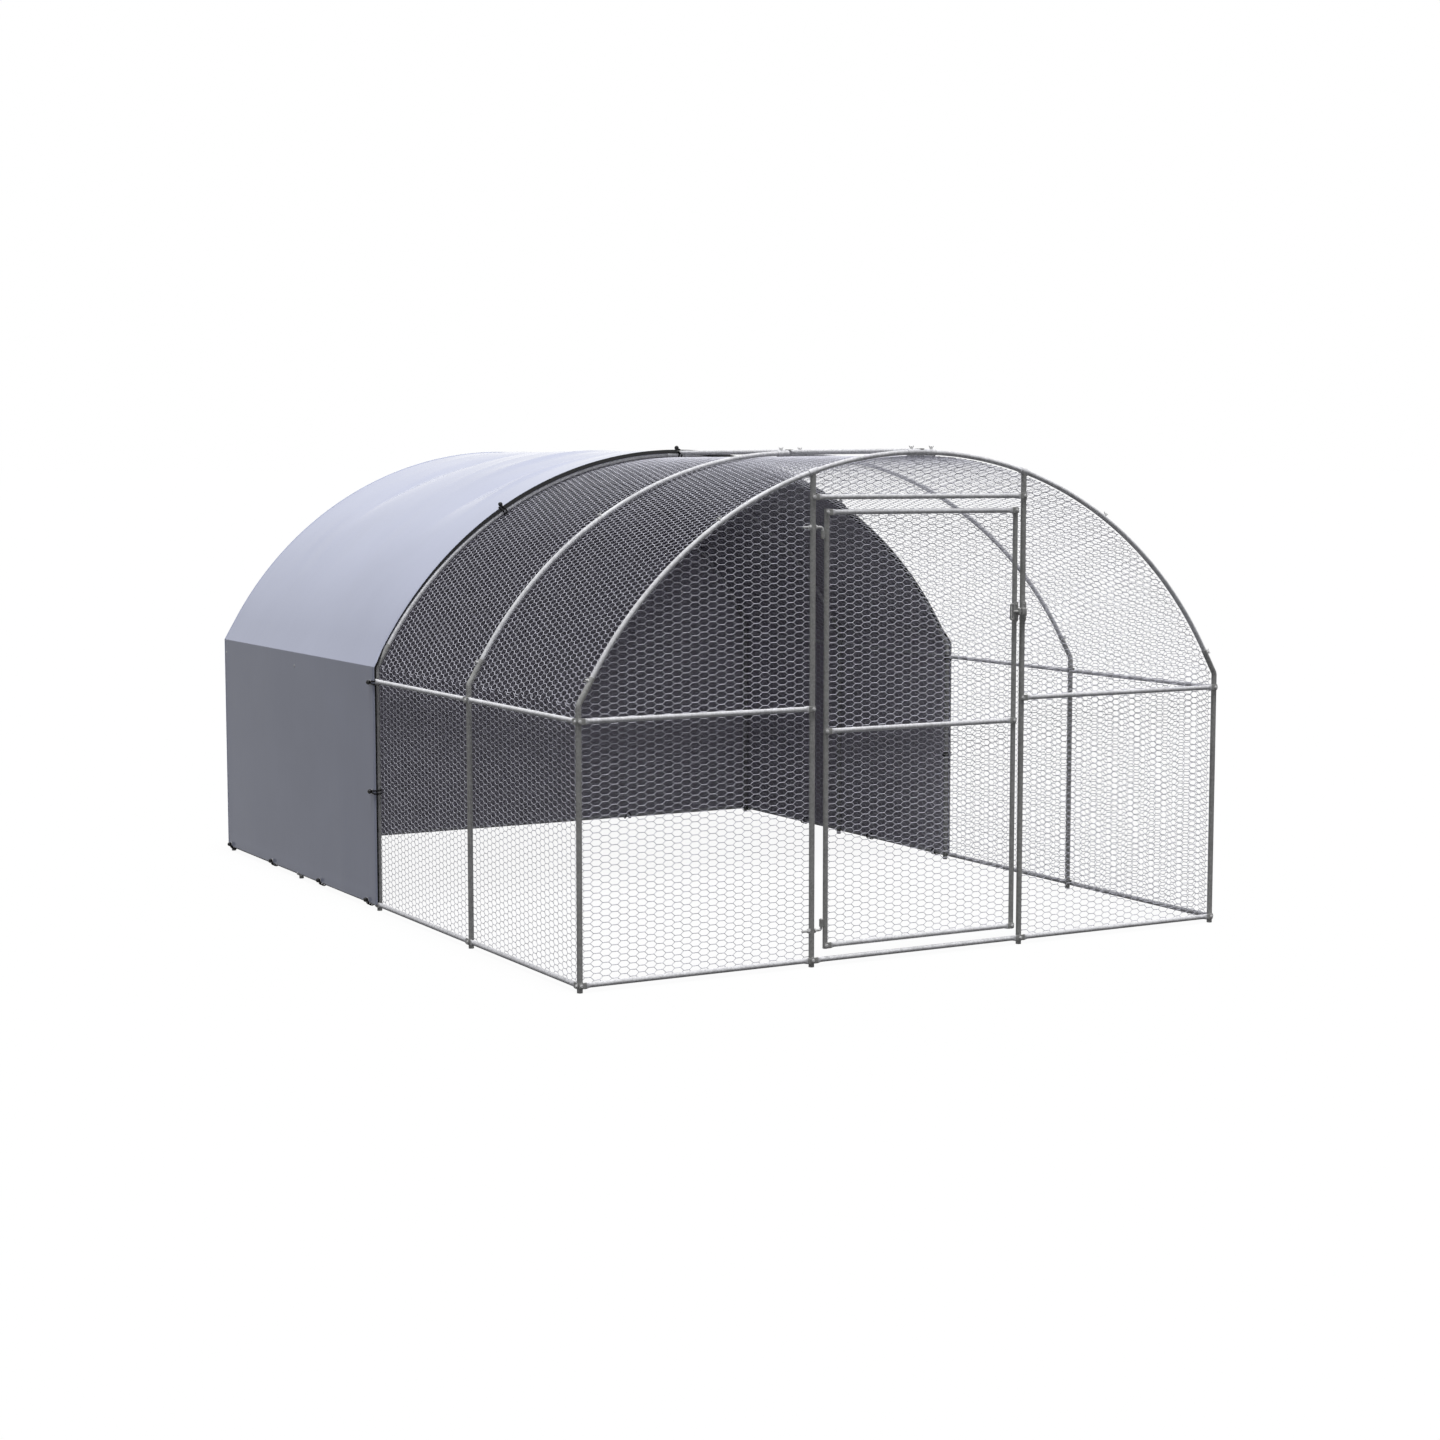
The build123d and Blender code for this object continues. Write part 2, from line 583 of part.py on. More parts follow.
def lintel_outline(half_width, low):
    """Outline of the net between the header and the front arch."""

    def draw(border):
        edge = END_NET_EDGE - border
        side, bottom = half_width - border, low + border
        shoulder = (side, arch_height(side, edge))
        Polyline(mirrored(shoulder), (-side, bottom), (side, bottom), shoulder)
        ThreePointArc(shoulder, (0, APEX_Z + edge), mirrored(shoulder))

    return draw


def rear_outline(low):
    """Outline of the net that fills the whole rear arch."""

    def draw(border):
        edge = END_NET_EDGE - border
        bottom = low + border
        corner = (HALF_SPAN + edge, bottom)
        roof_line(edge)
        Polyline(kink_point(edge), corner, mirrored(corner), mirrored(kink_point(edge)))

    return draw


NET_LOW_Z = BOTTOM_RAIL_Z - RAIL_R
NET_SIDE_HIGH_Z = kink_point(ROOF_NET - NET_THICKNESS)[1] - NET_CLEARANCE
FRONT_NET_PLANE = upright_plane(FRONT_Y + POST_R + NET_CLEARANCE + NET_THICKNESS)
REAR_NET_PLANE = upright_plane(REAR_Y - POST_R - NET_CLEARANCE)
DOOR_NET_PLANE = upright_plane(FRONT_Y + STILE_R + NET_CLEARANCE + NET_THICKNESS)

right_outline = side_outline(DOOR_POST_X + NET_CLEARANCE, NET_LOW_Z)
right_gaps = net_gaps(right_outline, DOOR_POST_X, HALF_SPAN, NET_LOW_Z, APEX_Z)
front_net_right = make_flat_net(FRONT_NET_PLANE, right_outline, right_gaps)
keep(front_net_right, "front_net_right")
keep(mirror(front_net_right, about=Plane.YZ), "front_net_left")

lintel = lintel_outline(DOOR_POST_X, HEADER_Z)
lintel_gaps = net_gaps(lintel, -DOOR_POST_X, DOOR_POST_X, HEADER_Z, APEX_Z)
keep(make_flat_net(FRONT_NET_PLANE, lintel, lintel_gaps), "lintel_net")

door_box = (LEFT_STILE_X, RIGHT_STILE_X, DOOR_BOTTOM_RAIL_Z, DOOR_TOP_RAIL_Z)
door_outline = box_outline(*door_box)
keep(make_flat_net(DOOR_NET_PLANE, door_outline, net_gaps(door_outline, *door_box)), "door_net")

# The side and roof nets have their gaps in the open bays, and are plain behind the cover
right_net_plane = Plane(origin=(HALF_SPAN + SIDE_NET - NET_THICKNESS, 0, 0), x_dir=(0, 1, 0), z_dir=RIGHT)
open_box = (FRONT_Y, COVER_FRONT_Y, NET_LOW_Z, NET_SIDE_HIGH_Z)
open_gaps = net_gaps(box_outline(*open_box), *open_box)
right_net_outline = box_outline(FRONT_Y, REAR_Y, NET_LOW_Z, NET_SIDE_HIGH_Z)
right_net = make_flat_net(right_net_plane, right_net_outline, open_gaps)
keep(right_net, "right_net")
keep(mirror(right_net, about=Plane.YZ), "left_net")

keep(make_flat_net(REAR_NET_PLANE, rear_outline(NET_LOW_Z), []), "rear_net")

ROOF_NET_FRONT_Y = FRONT_Y + POST_R + NET_CLEARANCE
ROOF_NET_REAR_Y = REAR_Y - POST_R - NET_CLEARANCE
ROOF_NET_ARC = ROOF_NET_RADIUS * radians(ARC_ANGLE)
ROOF_NET_STRAIGHT = hypot(
    kink_point(ROOF_NET)[0] - arc_end(ROOF_NET)[0],
    kink_point(ROOF_NET)[1] - arc_end(ROOF_NET)[1],
)
ROOF_NET_REACH = ROOF_NET_ARC + ROOF_NET_STRAIGHT


def roof_plane(along):
    """Plane on the roof net at a length along it from the top, facing in; its Y runs down to the right."""
    bent = max(-ROOF_NET_ARC, min(ROOF_NET_ARC, along))
    turn = bent / ROOF_NET_RADIUS
    middle = Vector(ROOF_NET_RADIUS * sin(turn), 0, CENTRE_Z + ROOF_NET_RADIUS * cos(turn))
    onward = Vector(cos(turn), 0, -sin(turn)) * (along - bent)
    return Plane(origin=middle + onward, x_dir=(0, 1, 0), z_dir=(-sin(turn), 0, -cos(turn)))


def folded_roof_line(offset):
    """Points along the roof, moved outwards by offset: the net lies straight between its rows of twists."""
    folds = floor(ROOF_NET_ARC / CELL_RISE)
    turns = [number * CELL_RISE / ROOF_NET_RADIUS for number in range(-folds, folds + 1)]
    radius = ARCH_RADIUS + offset
    twists = [(radius * sin(turn), CENTRE_Z + radius * cos(turn)) for turn in turns]
    right_end = [arc_end(offset), kink_point(offset)]
    return [mirrored(right_end[1]), mirrored(right_end[0]), *twists, *right_end]


roof_box = (ROOF_NET_FRONT_Y, COVER_FRONT_Y, -ROOF_NET_REACH, ROOF_NET_REACH)
roof_rows = 2 * CELL_RISE * ceil(ROOF_NET_REACH / (2 * CELL_RISE))
roof_gaps = net_gaps(box_outline(*roof_box), ROOF_NET_FRONT_Y, COVER_FRONT_Y, -roof_rows, roof_rows)
with BuildPart() as roof_net:
    with BuildSketch(upright_plane(ROOF_NET_FRONT_Y)):
        with BuildLine():
            outer = folded_roof_line(ROOF_NET)
            inner = folded_roof_line(ROOF_NET - NET_THICKNESS)
            Polyline(*outer, *reversed(inner), close=True)
        make_face()
    extrude(amount=ROOF_NET_FRONT_Y - ROOF_NET_REAR_Y)
    for gap in roof_gaps:
        along = gap.center().Y
        with BuildSketch(roof_plane(along)):
            add(gap.moved(Location((0, -along))))
    extrude(amount=ROOF_CUT, both=True, mode=Mode.SUBTRACT)
keep(roof_net.part, "roof_net")


# Rain cover: one sheet over the roof and both sides, its rear wall, and the balls of its bungees


def cover_foot(offset):
    return HALF_SPAN + offset, COVER_LOW_Z


def cover_line(offset):
    """Draws the cover's line over the run, from its left hem to its right hem."""
    Line(mirrored(cover_foot(offset)), mirrored(kink_point(offset)))
    roof_line(offset)
    Line(kink_point(offset), cover_foot(offset))


with BuildPart() as cover:
    with BuildSketch(upright_plane(COVER_FRONT_Y)):
        with BuildLine():
            cover_line(COVER_INNER)
            cover_line(COVER_OUTER)
            Line(cover_foot(COVER_INNER), cover_foot(COVER_OUTER))
            Line(mirrored(cover_foot(COVER_INNER)), mirrored(cover_foot(COVER_OUTER)))
        make_face()
    extrude(amount=-(COVER_REAR_Y - COVER_FRONT_Y))
keep(cover.part, "cover")

with BuildPart() as cover_rear_wall:
    with BuildSketch(upright_plane(COVER_REAR_Y)):
        with BuildLine():
            cover_line(COVER_OUTER)
            Line(cover_foot(COVER_OUTER), mirrored(cover_foot(COVER_OUTER)))
        make_face()
    extrude(amount=-COVER_THICKNESS)
keep(cover_rear_wall.part, "cover_rear_wall")


def make_ball(place):
    """Ball of a bungee, with its flat back towards the cover; place has its Z axis out of the cover."""
    with BuildPart() as ball:
        with BuildSketch(place.offset(BALL_CLEARANCE)):
            Rectangle(BALL_DIAMETER, BALL_DIAMETER)
        extrude(amount=BALL_DIAMETER)
        chamfer(ball.edges(), length=BALL_CORNER)
    return ball.part


hem_z = COVER_LOW_Z + BALL_HEM
edge_y = COVER_FRONT_Y + BALL_INSET
balls = []
for side in (-1, 1):
    face_x = side * (HALF_SPAN + COVER_OUTER)
    spots = [(edge_y, z) for z in FRONT_BALL_Z]
    spots += [(COVER_FRONT_Y + share * (COVER_REAR_Y - COVER_FRONT_Y), hem_z) for share in HEM_BALL_SHARES]
    balls += [make_ball(Plane(origin=(face_x, y, z), z_dir=(side, 0, 0))) for y, z in spots]
for x in ROOF_BALL_X:
    turn = asin(x / (ARCH_RADIUS + COVER_OUTER))
    origin = (x, edge_y, arch_height(x, COVER_OUTER))
    balls.append(make_ball(Plane(origin=origin, x_dir=REAR, z_dir=(sin(turn), 0, cos(turn)))))
for x in REAR_BALL_X:
    balls.append(make_ball(Plane(origin=(x, COVER_REAR_Y + COVER_THICKNESS, hem_z), z_dir=REAR)))
keep(Compound(children=balls), "bungee_balls")
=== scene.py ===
"""Dresses a walk-in poultry run: round galvanised tubes, hexagonal netting, a rain cover and its fittings.

Metres. X runs left to right, Y from the door at the front to the rear, Z up from the ground.
"""

import math
from collections import namedtuple

import bpy
import numpy as np
from bpy.props import FloatProperty, FloatVectorProperty, PointerProperty
from mathutils import Matrix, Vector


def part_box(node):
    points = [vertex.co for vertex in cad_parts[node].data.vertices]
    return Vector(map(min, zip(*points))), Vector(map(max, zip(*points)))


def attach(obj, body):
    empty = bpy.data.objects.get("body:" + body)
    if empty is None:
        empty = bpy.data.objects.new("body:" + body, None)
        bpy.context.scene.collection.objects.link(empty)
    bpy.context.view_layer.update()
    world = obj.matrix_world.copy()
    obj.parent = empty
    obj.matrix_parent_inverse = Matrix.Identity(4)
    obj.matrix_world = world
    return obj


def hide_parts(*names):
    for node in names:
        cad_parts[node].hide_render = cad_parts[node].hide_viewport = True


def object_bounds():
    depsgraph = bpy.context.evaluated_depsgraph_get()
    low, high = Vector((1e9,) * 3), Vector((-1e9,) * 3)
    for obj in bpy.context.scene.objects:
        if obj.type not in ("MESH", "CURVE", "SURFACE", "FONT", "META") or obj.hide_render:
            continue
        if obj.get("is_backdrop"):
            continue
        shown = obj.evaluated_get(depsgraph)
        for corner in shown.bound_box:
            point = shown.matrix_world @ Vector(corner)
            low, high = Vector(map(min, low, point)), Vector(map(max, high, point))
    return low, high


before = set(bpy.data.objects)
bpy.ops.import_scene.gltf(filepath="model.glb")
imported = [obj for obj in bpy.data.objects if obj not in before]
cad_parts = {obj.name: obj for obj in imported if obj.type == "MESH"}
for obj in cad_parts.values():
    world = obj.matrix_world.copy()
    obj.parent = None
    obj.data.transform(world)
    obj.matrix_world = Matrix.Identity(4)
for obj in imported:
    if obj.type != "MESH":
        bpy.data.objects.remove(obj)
CAD_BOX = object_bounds()

bl_info = {
    "name": "Walk-in poultry run",
    "version": (1, 0, 0),
    "blender": (4, 5, 0),
    "location": "3D View > Sidebar > Poultry run",
    "description": "Builds the tubes, netting, cover and fittings of a walk-in poultry run on its solids",
    "category": "Object",
}


# Places that come from the solids


def middle_of(node):
    """Middle of a node's box."""
    low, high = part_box(node)
    return (low + high) / 2


POST_BOXES = [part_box(f"post_{number}_left") for number in range(1, 6)]
ARCH_Y = [(low.y + high.y) / 2 for low, high in POST_BOXES]
FRONT_Y = ARCH_Y[0]
COVER_ARCH_Y = ARCH_Y[2]
REAR_Y = ARCH_Y[-1]
BAY = ARCH_Y[1] - ARCH_Y[0]
POST_RADIUS = (POST_BOXES[0][1].y - POST_BOXES[0][0].y) / 2
HALF_SPAN = -POST_BOXES[0][0].x - POST_RADIUS
DOOR_POST_X = middle_of("door_post_right").x
LEFT_STILE_X = middle_of("door_stile_left").x
RIGHT_STILE_X = middle_of("door_stile_right").x
DOOR_LOW_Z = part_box("door_stile_left")[0].z
DOOR_HIGH_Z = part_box("door_stile_left")[1].z
BOTTOM_RAIL_Z = middle_of("rear_bottom_rail").z
MIDDLE_RAIL_Z = middle_of("front_middle_rail_left").z
HEADER_Z = middle_of("door_header_rail").z
HINGE_X = middle_of("door_hinge_sleeves").x
LATCH_Z = middle_of("latch_bolt").z
COVER_FRONT_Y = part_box("cover")[0].y
COVER_REAR_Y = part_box("cover_rear_wall")[1].y
COVER_LOW_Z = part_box("cover")[0].z

# Sizes that repeat those of the solids
KINK_Z = 1.064
APEX_Z = 1.986
ELBOW_LENGTH = 0.115
SOCKET_DEPTH = 0.060
ARCH_JOINT_X = 0.909
APEX_SLEEVE_LENGTH = 0.130
COLLAR_LENGTH = 0.042
RAIL_RADIUS = 0.010
TAB_THICKNESS = 0.002
TAB_HEIGHT = 0.024
TAB_REACH = 0.009
CRIMP_LENGTH = 0.022
UPPER_PINTLE_DROP = 0.070
LOWER_PINTLE_RISE = 0.075
PINTLE_TAIL = 0.044
PINTLE_BEND = 0.010
PIN_PROUD = 0.002
HINGE_END_PLAY = 0.0025
HINGE_SLEEVE_LENGTH = 0.030
HINGE_SLEEVE_RADIUS = 0.008

# The arch: a straight elbow on each side, then one arc that is tangent to both elbows
RISE = APEX_Z - KINK_Z
TANGENT = (HALF_SPAN**2 + RISE**2 - ELBOW_LENGTH**2) / (2 * (HALF_SPAN + ELBOW_LENGTH))
ARC_ANGLE = math.asin(RISE / (TANGENT + ELBOW_LENGTH))
ARCH_RADIUS = TANGENT / math.tan(ARC_ANGLE / 2)
CENTRE_Z = APEX_Z - ARCH_RADIUS
TILT = math.pi / 2 - ARC_ANGLE
ARC_END = ARCH_RADIUS * ARC_ANGLE
ARCH_JOINT = ARCH_RADIUS * math.asin(ARCH_JOINT_X / ARCH_RADIUS)
DOOR_POST_TURN = math.asin(DOOR_POST_X / ARCH_RADIUS)

# Directions, the rise from which a direction counts as upright, sides and levels
RIGHT = np.array((1.0, 0.0, 0.0))
BACK = np.array((0.0, 1.0, 0.0))
UP = np.array((0.0, 0.0, 1.0))
NEARLY_UPRIGHT = 0.9
SIDES = ((-1, "left"), (1, "right"))
RAIL_LEVELS = (("bottom", BOTTOM_RAIL_Z), ("middle", MIDDLE_RAIL_Z))
DOOR_RAILS = ("door_bottom_rail", "door_middle_rail", "door_top_rail")

# Sides of round pieces
TUBE_SIDES = 20
ROUND_SIDES = 24
ROD_SIDES = 16
CORD_SIDES = 8
LOOP_SIDES = 14
LATCH_SIDES = 32
TAB_WASHER_SIDES = 20
WING_HUB_SIDES = 18
EYELET_SIDES = 28
FLOOR_SIDES = 48

# Angles in degrees from which an edge shows as sharp
TUBE_SHARP = 40.0
NUT_SHARP = 25.0
PLATE_SHARP = 30.0
BALL_SHARP = 60.0
SHEET_SHARP = 60.0
CORD_SHARP = 80.0
WIRE_SHARP = 180.0

# Tubes: the lip at an open end is given in walls, and the depth of its bore in radii
BORE_DEPTH = 3.0
LIP_DEPTH = 0.3
LIP_HEIGHT = 0.6
FOOT_BORE = 0.03
JOINT_GAP = 0.0002
ARCH_STEP = 0.03
BEND_STEPS = 7
KINK_STEPS = (-0.004, -0.001, 0.001, 0.004)

# Rails: the flat tab is pressed out of the tube, which bulges beside it and is round again after the stretch
TAB_CORNER = 0.006
TAB_CORNER_SHARES = (0.0, 0.3, 0.65, 1.0)
TAB_SQUARENESS = 5.0
ROUND_SQUARENESS = 2.0
PRESS_GAP = 0.0005
PRESS_BULGE = 0.0015
PRESS_STRETCH = 1.35
PRESS_STEPS = 9
# Lengths at each end of a rail that take the darker post finish, painted shade
SHADED_END_LENGTHS = 7

# Nuts, bolts and threads: profiles are pairs of radius and height, the nut's in shares of its own size
NUT_PROFILE = ((0.86, 0.0), (1.0, 0.14), (1.0, 0.84), (0.84, 1.0))
THREAD_PITCH = 0.0015
THREAD_ROOT = 0.88
THREAD_TIP = 0.7
TAB_WASHER = ((0.0072, -0.0022), (0.0072, 0.0008), (0.0066, 0.0012))
TAB_HEAD_WIDTH = 0.0098
TAB_HEAD_HEIGHT = 0.0042
WING_HUB = ((0.0062, -0.003), (0.0062, 0.0008), (0.0052, 0.0012), (0.0044, 0.0062), (0.0038, 0.0066))
WING_OUTLINE = ((0.0030, 0.0012), (0.0056, 0.0018), (0.0092, 0.0072), (0.0112, 0.0116), (0.0100, 0.0134),
                (0.0080, 0.0124), (0.0056, 0.0082), (0.0030, 0.0058))
WING_THICKNESS = 0.0018
WING_BEVEL = 0.0004
WING_BOLT_RADIUS = 0.0028
WING_BOLT_PROUD = 0.0055
WING_BOLT_SEAT = 0.006
WING_BOLT_PITCH = 0.001
SLEEVE_BOLT_PLACE = 0.046
JOINT_BOLT_BACK = 0.012
ELBOW_BOLT_PAST = 0.030

# Hinges: the weld is a bead on each side of a sleeve, with a ripple along it
HINGE_STEPS = 9
HINGE_ROD_LAP = 0.004
HINGE_TIP_CHAMFER = 0.001
HINGE_TIP_SHARE = 0.8
HINGE_WASHER = ((0.0105, -0.0012), (0.0105, 0.0003), (0.0098, 0.0008))
HINGE_NUT_WIDTH = 0.0165
HINGE_NUT_HEIGHT = 0.0062
HINGE_BORE_PLAY = 0.0001
HINGE_SLEEVE_EDGE = 0.0008
WELD_RADIUS = 0.0017
WELD_RIPPLE = 0.0004
WELD_WAVES = 40
WELD_STEPS = 25
WELD_INSET = 0.002
WELD_ACROSS = 0.0072
WELD_BESIDE = 0.0038

# Latch
LATCH_SQUARENESS = 6.0
LATCH_EDGE = 0.0008
LATCH_PLATE_WIDTH = 0.020
LATCH_BLOCK_DEPTH = 0.015
LATCH_BLOCK_HEIGHT = 0.030
LATCH_BORE = 0.0063
GUIDE_BLOCK_LENGTH = 0.011
KEEPER_BLOCK_LENGTH = 0.022
RIVET_PLACE = 0.028
RIVET_PROFILE = ((0.0046, 0.0), (0.0046, 0.0012), (0.0036, 0.0026), (0.0012, 0.0032))
LATCH_BOLT_RADIUS = 0.006
LATCH_BOLT_NOSE = 0.002
LATCH_TAIL_SHARE = 0.7
LATCH_NOSE_SHARE = 0.72
LOOP_BAR = 0.0035
LOOP_WIDTH = 0.021
LOOP_CORNER = 0.008
LOOP_STEPS = 7

# Nets: offsets from the arch's axis, and waves that move the knots, in radians per metre along and up
END_NET_OFFSET = -0.0125
ROOF_NET_OFFSET = -0.0143
SHORTEST_WIRE = 0.0002
CLIP_STEPS = 10
KNOT_WAVES_ALONG = ((1713.0, 911.0), (7.0, 11.0))
KNOT_WAVES_UP = ((-1571.0, 1327.0), (-9.0, 5.0))

# Cover: distance of its sheet from the arch's axis, where a bay's large fold lies, and the taut borders
COVER_OFFSET = 0.0185
HEM_STEP = 0.0006
FOLD_TOP = (0.10, 0.35)
FOLD_FOOT = (1.22, 0.5)
FOLD_PLACE = 0.47
FOLD_WANDER = 0.03
FOLD_WAVES = 5.0
FOLD_BEFORE = 0.12
FOLD_BEHIND = 0.25
TAUT_FRONT = 0.12
TAUT_REAR = 0.08

# Folds that the photograph shows: middle, direction, length, width and share of the height
SEEN_FOLDS = (
    ((-0.40, 1.36), 0.05, 0.25, 0.045, -3.0),
    ((-0.55, 0.33), 0.05, 0.30, 0.052, 4.2),
    ((-0.30, 0.75), -0.10, 0.30, 0.060, 3.8),
)

# Drawn folds: ranges of the middle's two places, direction, length, width and, but for the rear, height
FOLD_SEED = 7
ROOF_FOLD_COUNT = 30
ROOF_FOLD_SPANS = ((-1.3, 1.3), (0.1, 1.9), (-0.35, 0.35), (0.15, 0.4), (0.03, 0.08), (-0.8, 0.8))
SIDE_FOLD_COUNT = 14
SIDE_FOLD_SPANS = ((1.9, 2.8), (0.1, 1.9), (0.0, math.pi), (0.2, 0.5), (0.06, 0.14), (0.2, 0.6))
REAR_SEED = 11
REAR_FOLD_COUNT = 24
REAR_FOLD_SPANS = ((-1.3, 1.3), (0.2, 1.6), (0.0, math.pi), (0.2, 0.6), (0.05, 0.15))
REAR_RIPPLE = 0.0045
REAR_SEAT = 0.001
REAR_MESH_HEIGHT = 1.98

# Front hem, in pairs of back and out from the third arch's axis: it laps on the sheet, bends over the arch
# and goes round under it by an angle in degrees, and beside an upright post it turns in as a roll
HEM_PLACES = 301
HEM_LAP = ((0.036, 0.0200), (0.026, 0.0200), (0.016, 0.0200))
HEM_START = np.array((0.0125, 0.0198))
HEM_BULGE = np.array((0.006, 0.0185))
HEM_SEAT = 0.0118
HEM_OVER_STEPS = 6
HEM_UNDER_STEPS = 7
WRAP_FOOT = 4
WRAP_TOP = 54
WRAP_RIGHT = 110
WRAP_RIGHT_START = -0.2
WRAP_RIGHT_BLEND = 0.8
WRAP_REACH = 1.45
ROLL_MIDDLE = (-0.001, 0.0055)
ROLL_RADIUS = 0.015
ROLL_TURN = math.radians(78)
ROLL_START = 0.10
ROLL_BLEND = 0.09
# The black strip on the hem is painted shade: it fills the gap under the hem's edge, widest at the top
SHADE_STRIP_BARE = 0.72
SHADE_STRIP_POINTS = 10
SHADE_STRIP_FACES = (0.0008, 0.0020)
WELT_PLACES = 241
WELT_RADIUS = 0.0032

# Bungees: lines of the elastic round a post, an arch and a rail, in pairs of forward and out from its axis
POST_LOOP = ((-0.025, 0.0215), (-0.012, 0.0236), (-0.001, 0.0238), (0.009, 0.0228), (0.0165, 0.0185),
             (0.0205, 0.0120), (0.0205, 0.0050), (0.0175, -0.0045), (0.0105, -0.0128), (0.0, -0.0157),
             (-0.010, -0.0128), (-0.018, -0.001), (-0.024, 0.0140))
ARCH_LOOP = ((-0.025, 0.0215), (-0.016, 0.0242), (-0.008, 0.0232), (0.0, 0.0182), (0.0085, 0.0142),
             (0.0142, 0.0065), (0.0145, -0.002), (0.0095, -0.0095), (0.0, -0.0128), (-0.009, -0.0098),
             (-0.016, 0.001), (-0.023, 0.0135))
RAIL_LOOP = ((-0.009, 0.0170), (-0.001, 0.0190), (0.006, 0.0172), (0.0125, 0.0105), (0.0150, 0.002),
             (0.0125, -0.008), (0.004, -0.0135), (-0.006, -0.0115), (-0.0125, -0.003), (-0.0115, 0.008),
             (-0.009, 0.0120))
LEG_PARTING = 0.003
LEG_ROUNDNESS = 0.7
POST_LOOP_SPREAD = 0.0045
RAIL_LOOP_SPREAD = 0.012
BALL_STEP = 0.0003
BALL_FOOT = 0.35
BALL_ARC = (0.12, 0.93)
BALL_STEPS = 18
BALL_SEAM = 0.00035
BALL_SEAM_SHARE = 0.03
BALL_HOLE = ((0.16, 1.94), (0.1, 1.8))
EYELET_STEP = 0.001
EYELET_PROFILE = ((0.0062, 0.0), (0.0066, 0.0009), (0.0085, 0.0014), (0.0108, 0.0009), (0.0114, 0.0))
BUNGEE_HEM_INSET = 0.008
BUNGEE_EDGE_INSET = 0.012
POST_BUNGEE_HEIGHTS = (0.523, 1.000)
SIDE_BUNGEE_SHARES = (0.04, 0.34, 0.67, 0.98)
ARCH_BUNGEE_PLACES = (-0.880, 0.0, 0.880)
REAR_BUNGEE_PLACES = (-0.745, 0.745)

# Patterns and coat: marks to a metre, ranges of tone and roughness, and shares of the relief
WHOLE = (0.0, 1.0)
NOISE_RANGE = (0.3, 0.7)
PATCHES = 9.0
PATCH_RANGE = (0.35, 0.7)
PATCH_TONE = (0.06, -0.1)
PATCH_ROUGHNESS = (-0.04, 0.1)
CRYSTAL_TONE = (0.86, 1.14)
CRYSTAL_ROUGHNESS = (-0.05, 0.05)
CRYSTAL_HEIGHT = 0.25
ZINC_GRAINS = 420.0
ZINC_GRAIN_HEIGHT = 0.5
CLOUDS = 1.7
CLOUD_TONE = (0.97, 1.03)
CLOUD_ROUGHNESS = (-0.05, 0.06)
STREAKS = (3.0, 160.0, 1.0)
STREAK_TONE = (-0.03, 0.03)
WEAVE_RANGE = (-1.0, 1.0)
WEAVE_TONE = (-0.02, 0.02)
GRAIN_TONE = (0.75, 1.35)
GRAIN_ROUGHNESS = (-0.08, 0.08)
COAT_ROUGHNESS = 0.1
COAT_IOR = 1.13

# Studio
FLOOR_RADIUS = 2000.0
FLOOR_DEPTH = 0.05
FLOOR_ROUGHNESS = 0.9
SKY_COLOUR = (0.96, 0.97, 1.0, 1.0)
WHITE = (1.0, 1.0, 1.0, 1.0)
SENSOR_WIDTH = 36.0


# Sizes and colours that a user may change


def size_field(label, description, value):
    """A length that a user may change."""
    return FloatProperty(name=label, description=description, default=value, unit="LENGTH")


def angle_field(label, description, value):
    """An angle that a user may change."""
    return FloatProperty(name=label, description=description, default=value, unit="ROTATION")


def strength_field(label, description, value):
    """A strength of light that a user may change."""
    return FloatProperty(name=label, description=description, default=value)


def colour_field(label, description, value):
    """A colour that a user may change, in linear values."""
    return FloatVectorProperty(name=label, description=description, subtype="COLOR", size=3, default=value)


class TubeSizes(bpy.types.PropertyGroup):
    rail_diameter: size_field("Rail diameter", "Outer diameter of rails and door stiles", 0.020)
    arch_diameter: size_field("Arch diameter", "Outer diameter of the bent arch tubes", 0.0196)
    sleeve_diameter: size_field("Sleeve diameter", "Outer diameter of the sleeves on the arches", 0.026)
    wall: size_field("Wall", "Wall of the open tubes", 0.0012)
    bend_radius: size_field("Bend radius", "Radius of the bend at the top of a post", 0.035)
    rod_diameter: size_field("Hinge bolt diameter", "Diameter of the hooked hinge bolts", 0.010)


class NetSizes(bpy.types.PropertyGroup):
    wire: size_field("Wire", "Diameter of a single wire", 0.0024)
    twist: size_field("Twist", "Diameter of two wires twisted", 0.0030)
    point: size_field("Cell point", "From a cell's middle to its pointed side", 0.0257)
    flat: size_field("Cell flat", "From a cell's middle to the end of its twist", 0.0121)
    rise: size_field("Cell rise", "From a cell's middle up to its twist", 0.0125)
    unevenness: size_field("Unevenness", "How far the knots stray from a true grid", 0.0004)


class CoverSizes(bpy.types.PropertyGroup):
    thickness: size_field("Thickness", "Thickness of the cover", 0.0012)
    sag: size_field("Sag", "Depth of the fold half way along a bay", 0.022)
    wrinkle: size_field("Wrinkle height", "Height of the smaller folds", 0.003)
    hem: size_field("Hem width", "Width of the doubled hem", 0.036)
    grid: size_field("Grid", "Mesh size of the cover", 0.018)
    ball: size_field("Ball", "Diameter of a bungee's ball", 0.020)
    elastic: size_field("Elastic", "Diameter of a bungee's cord", 0.0062)


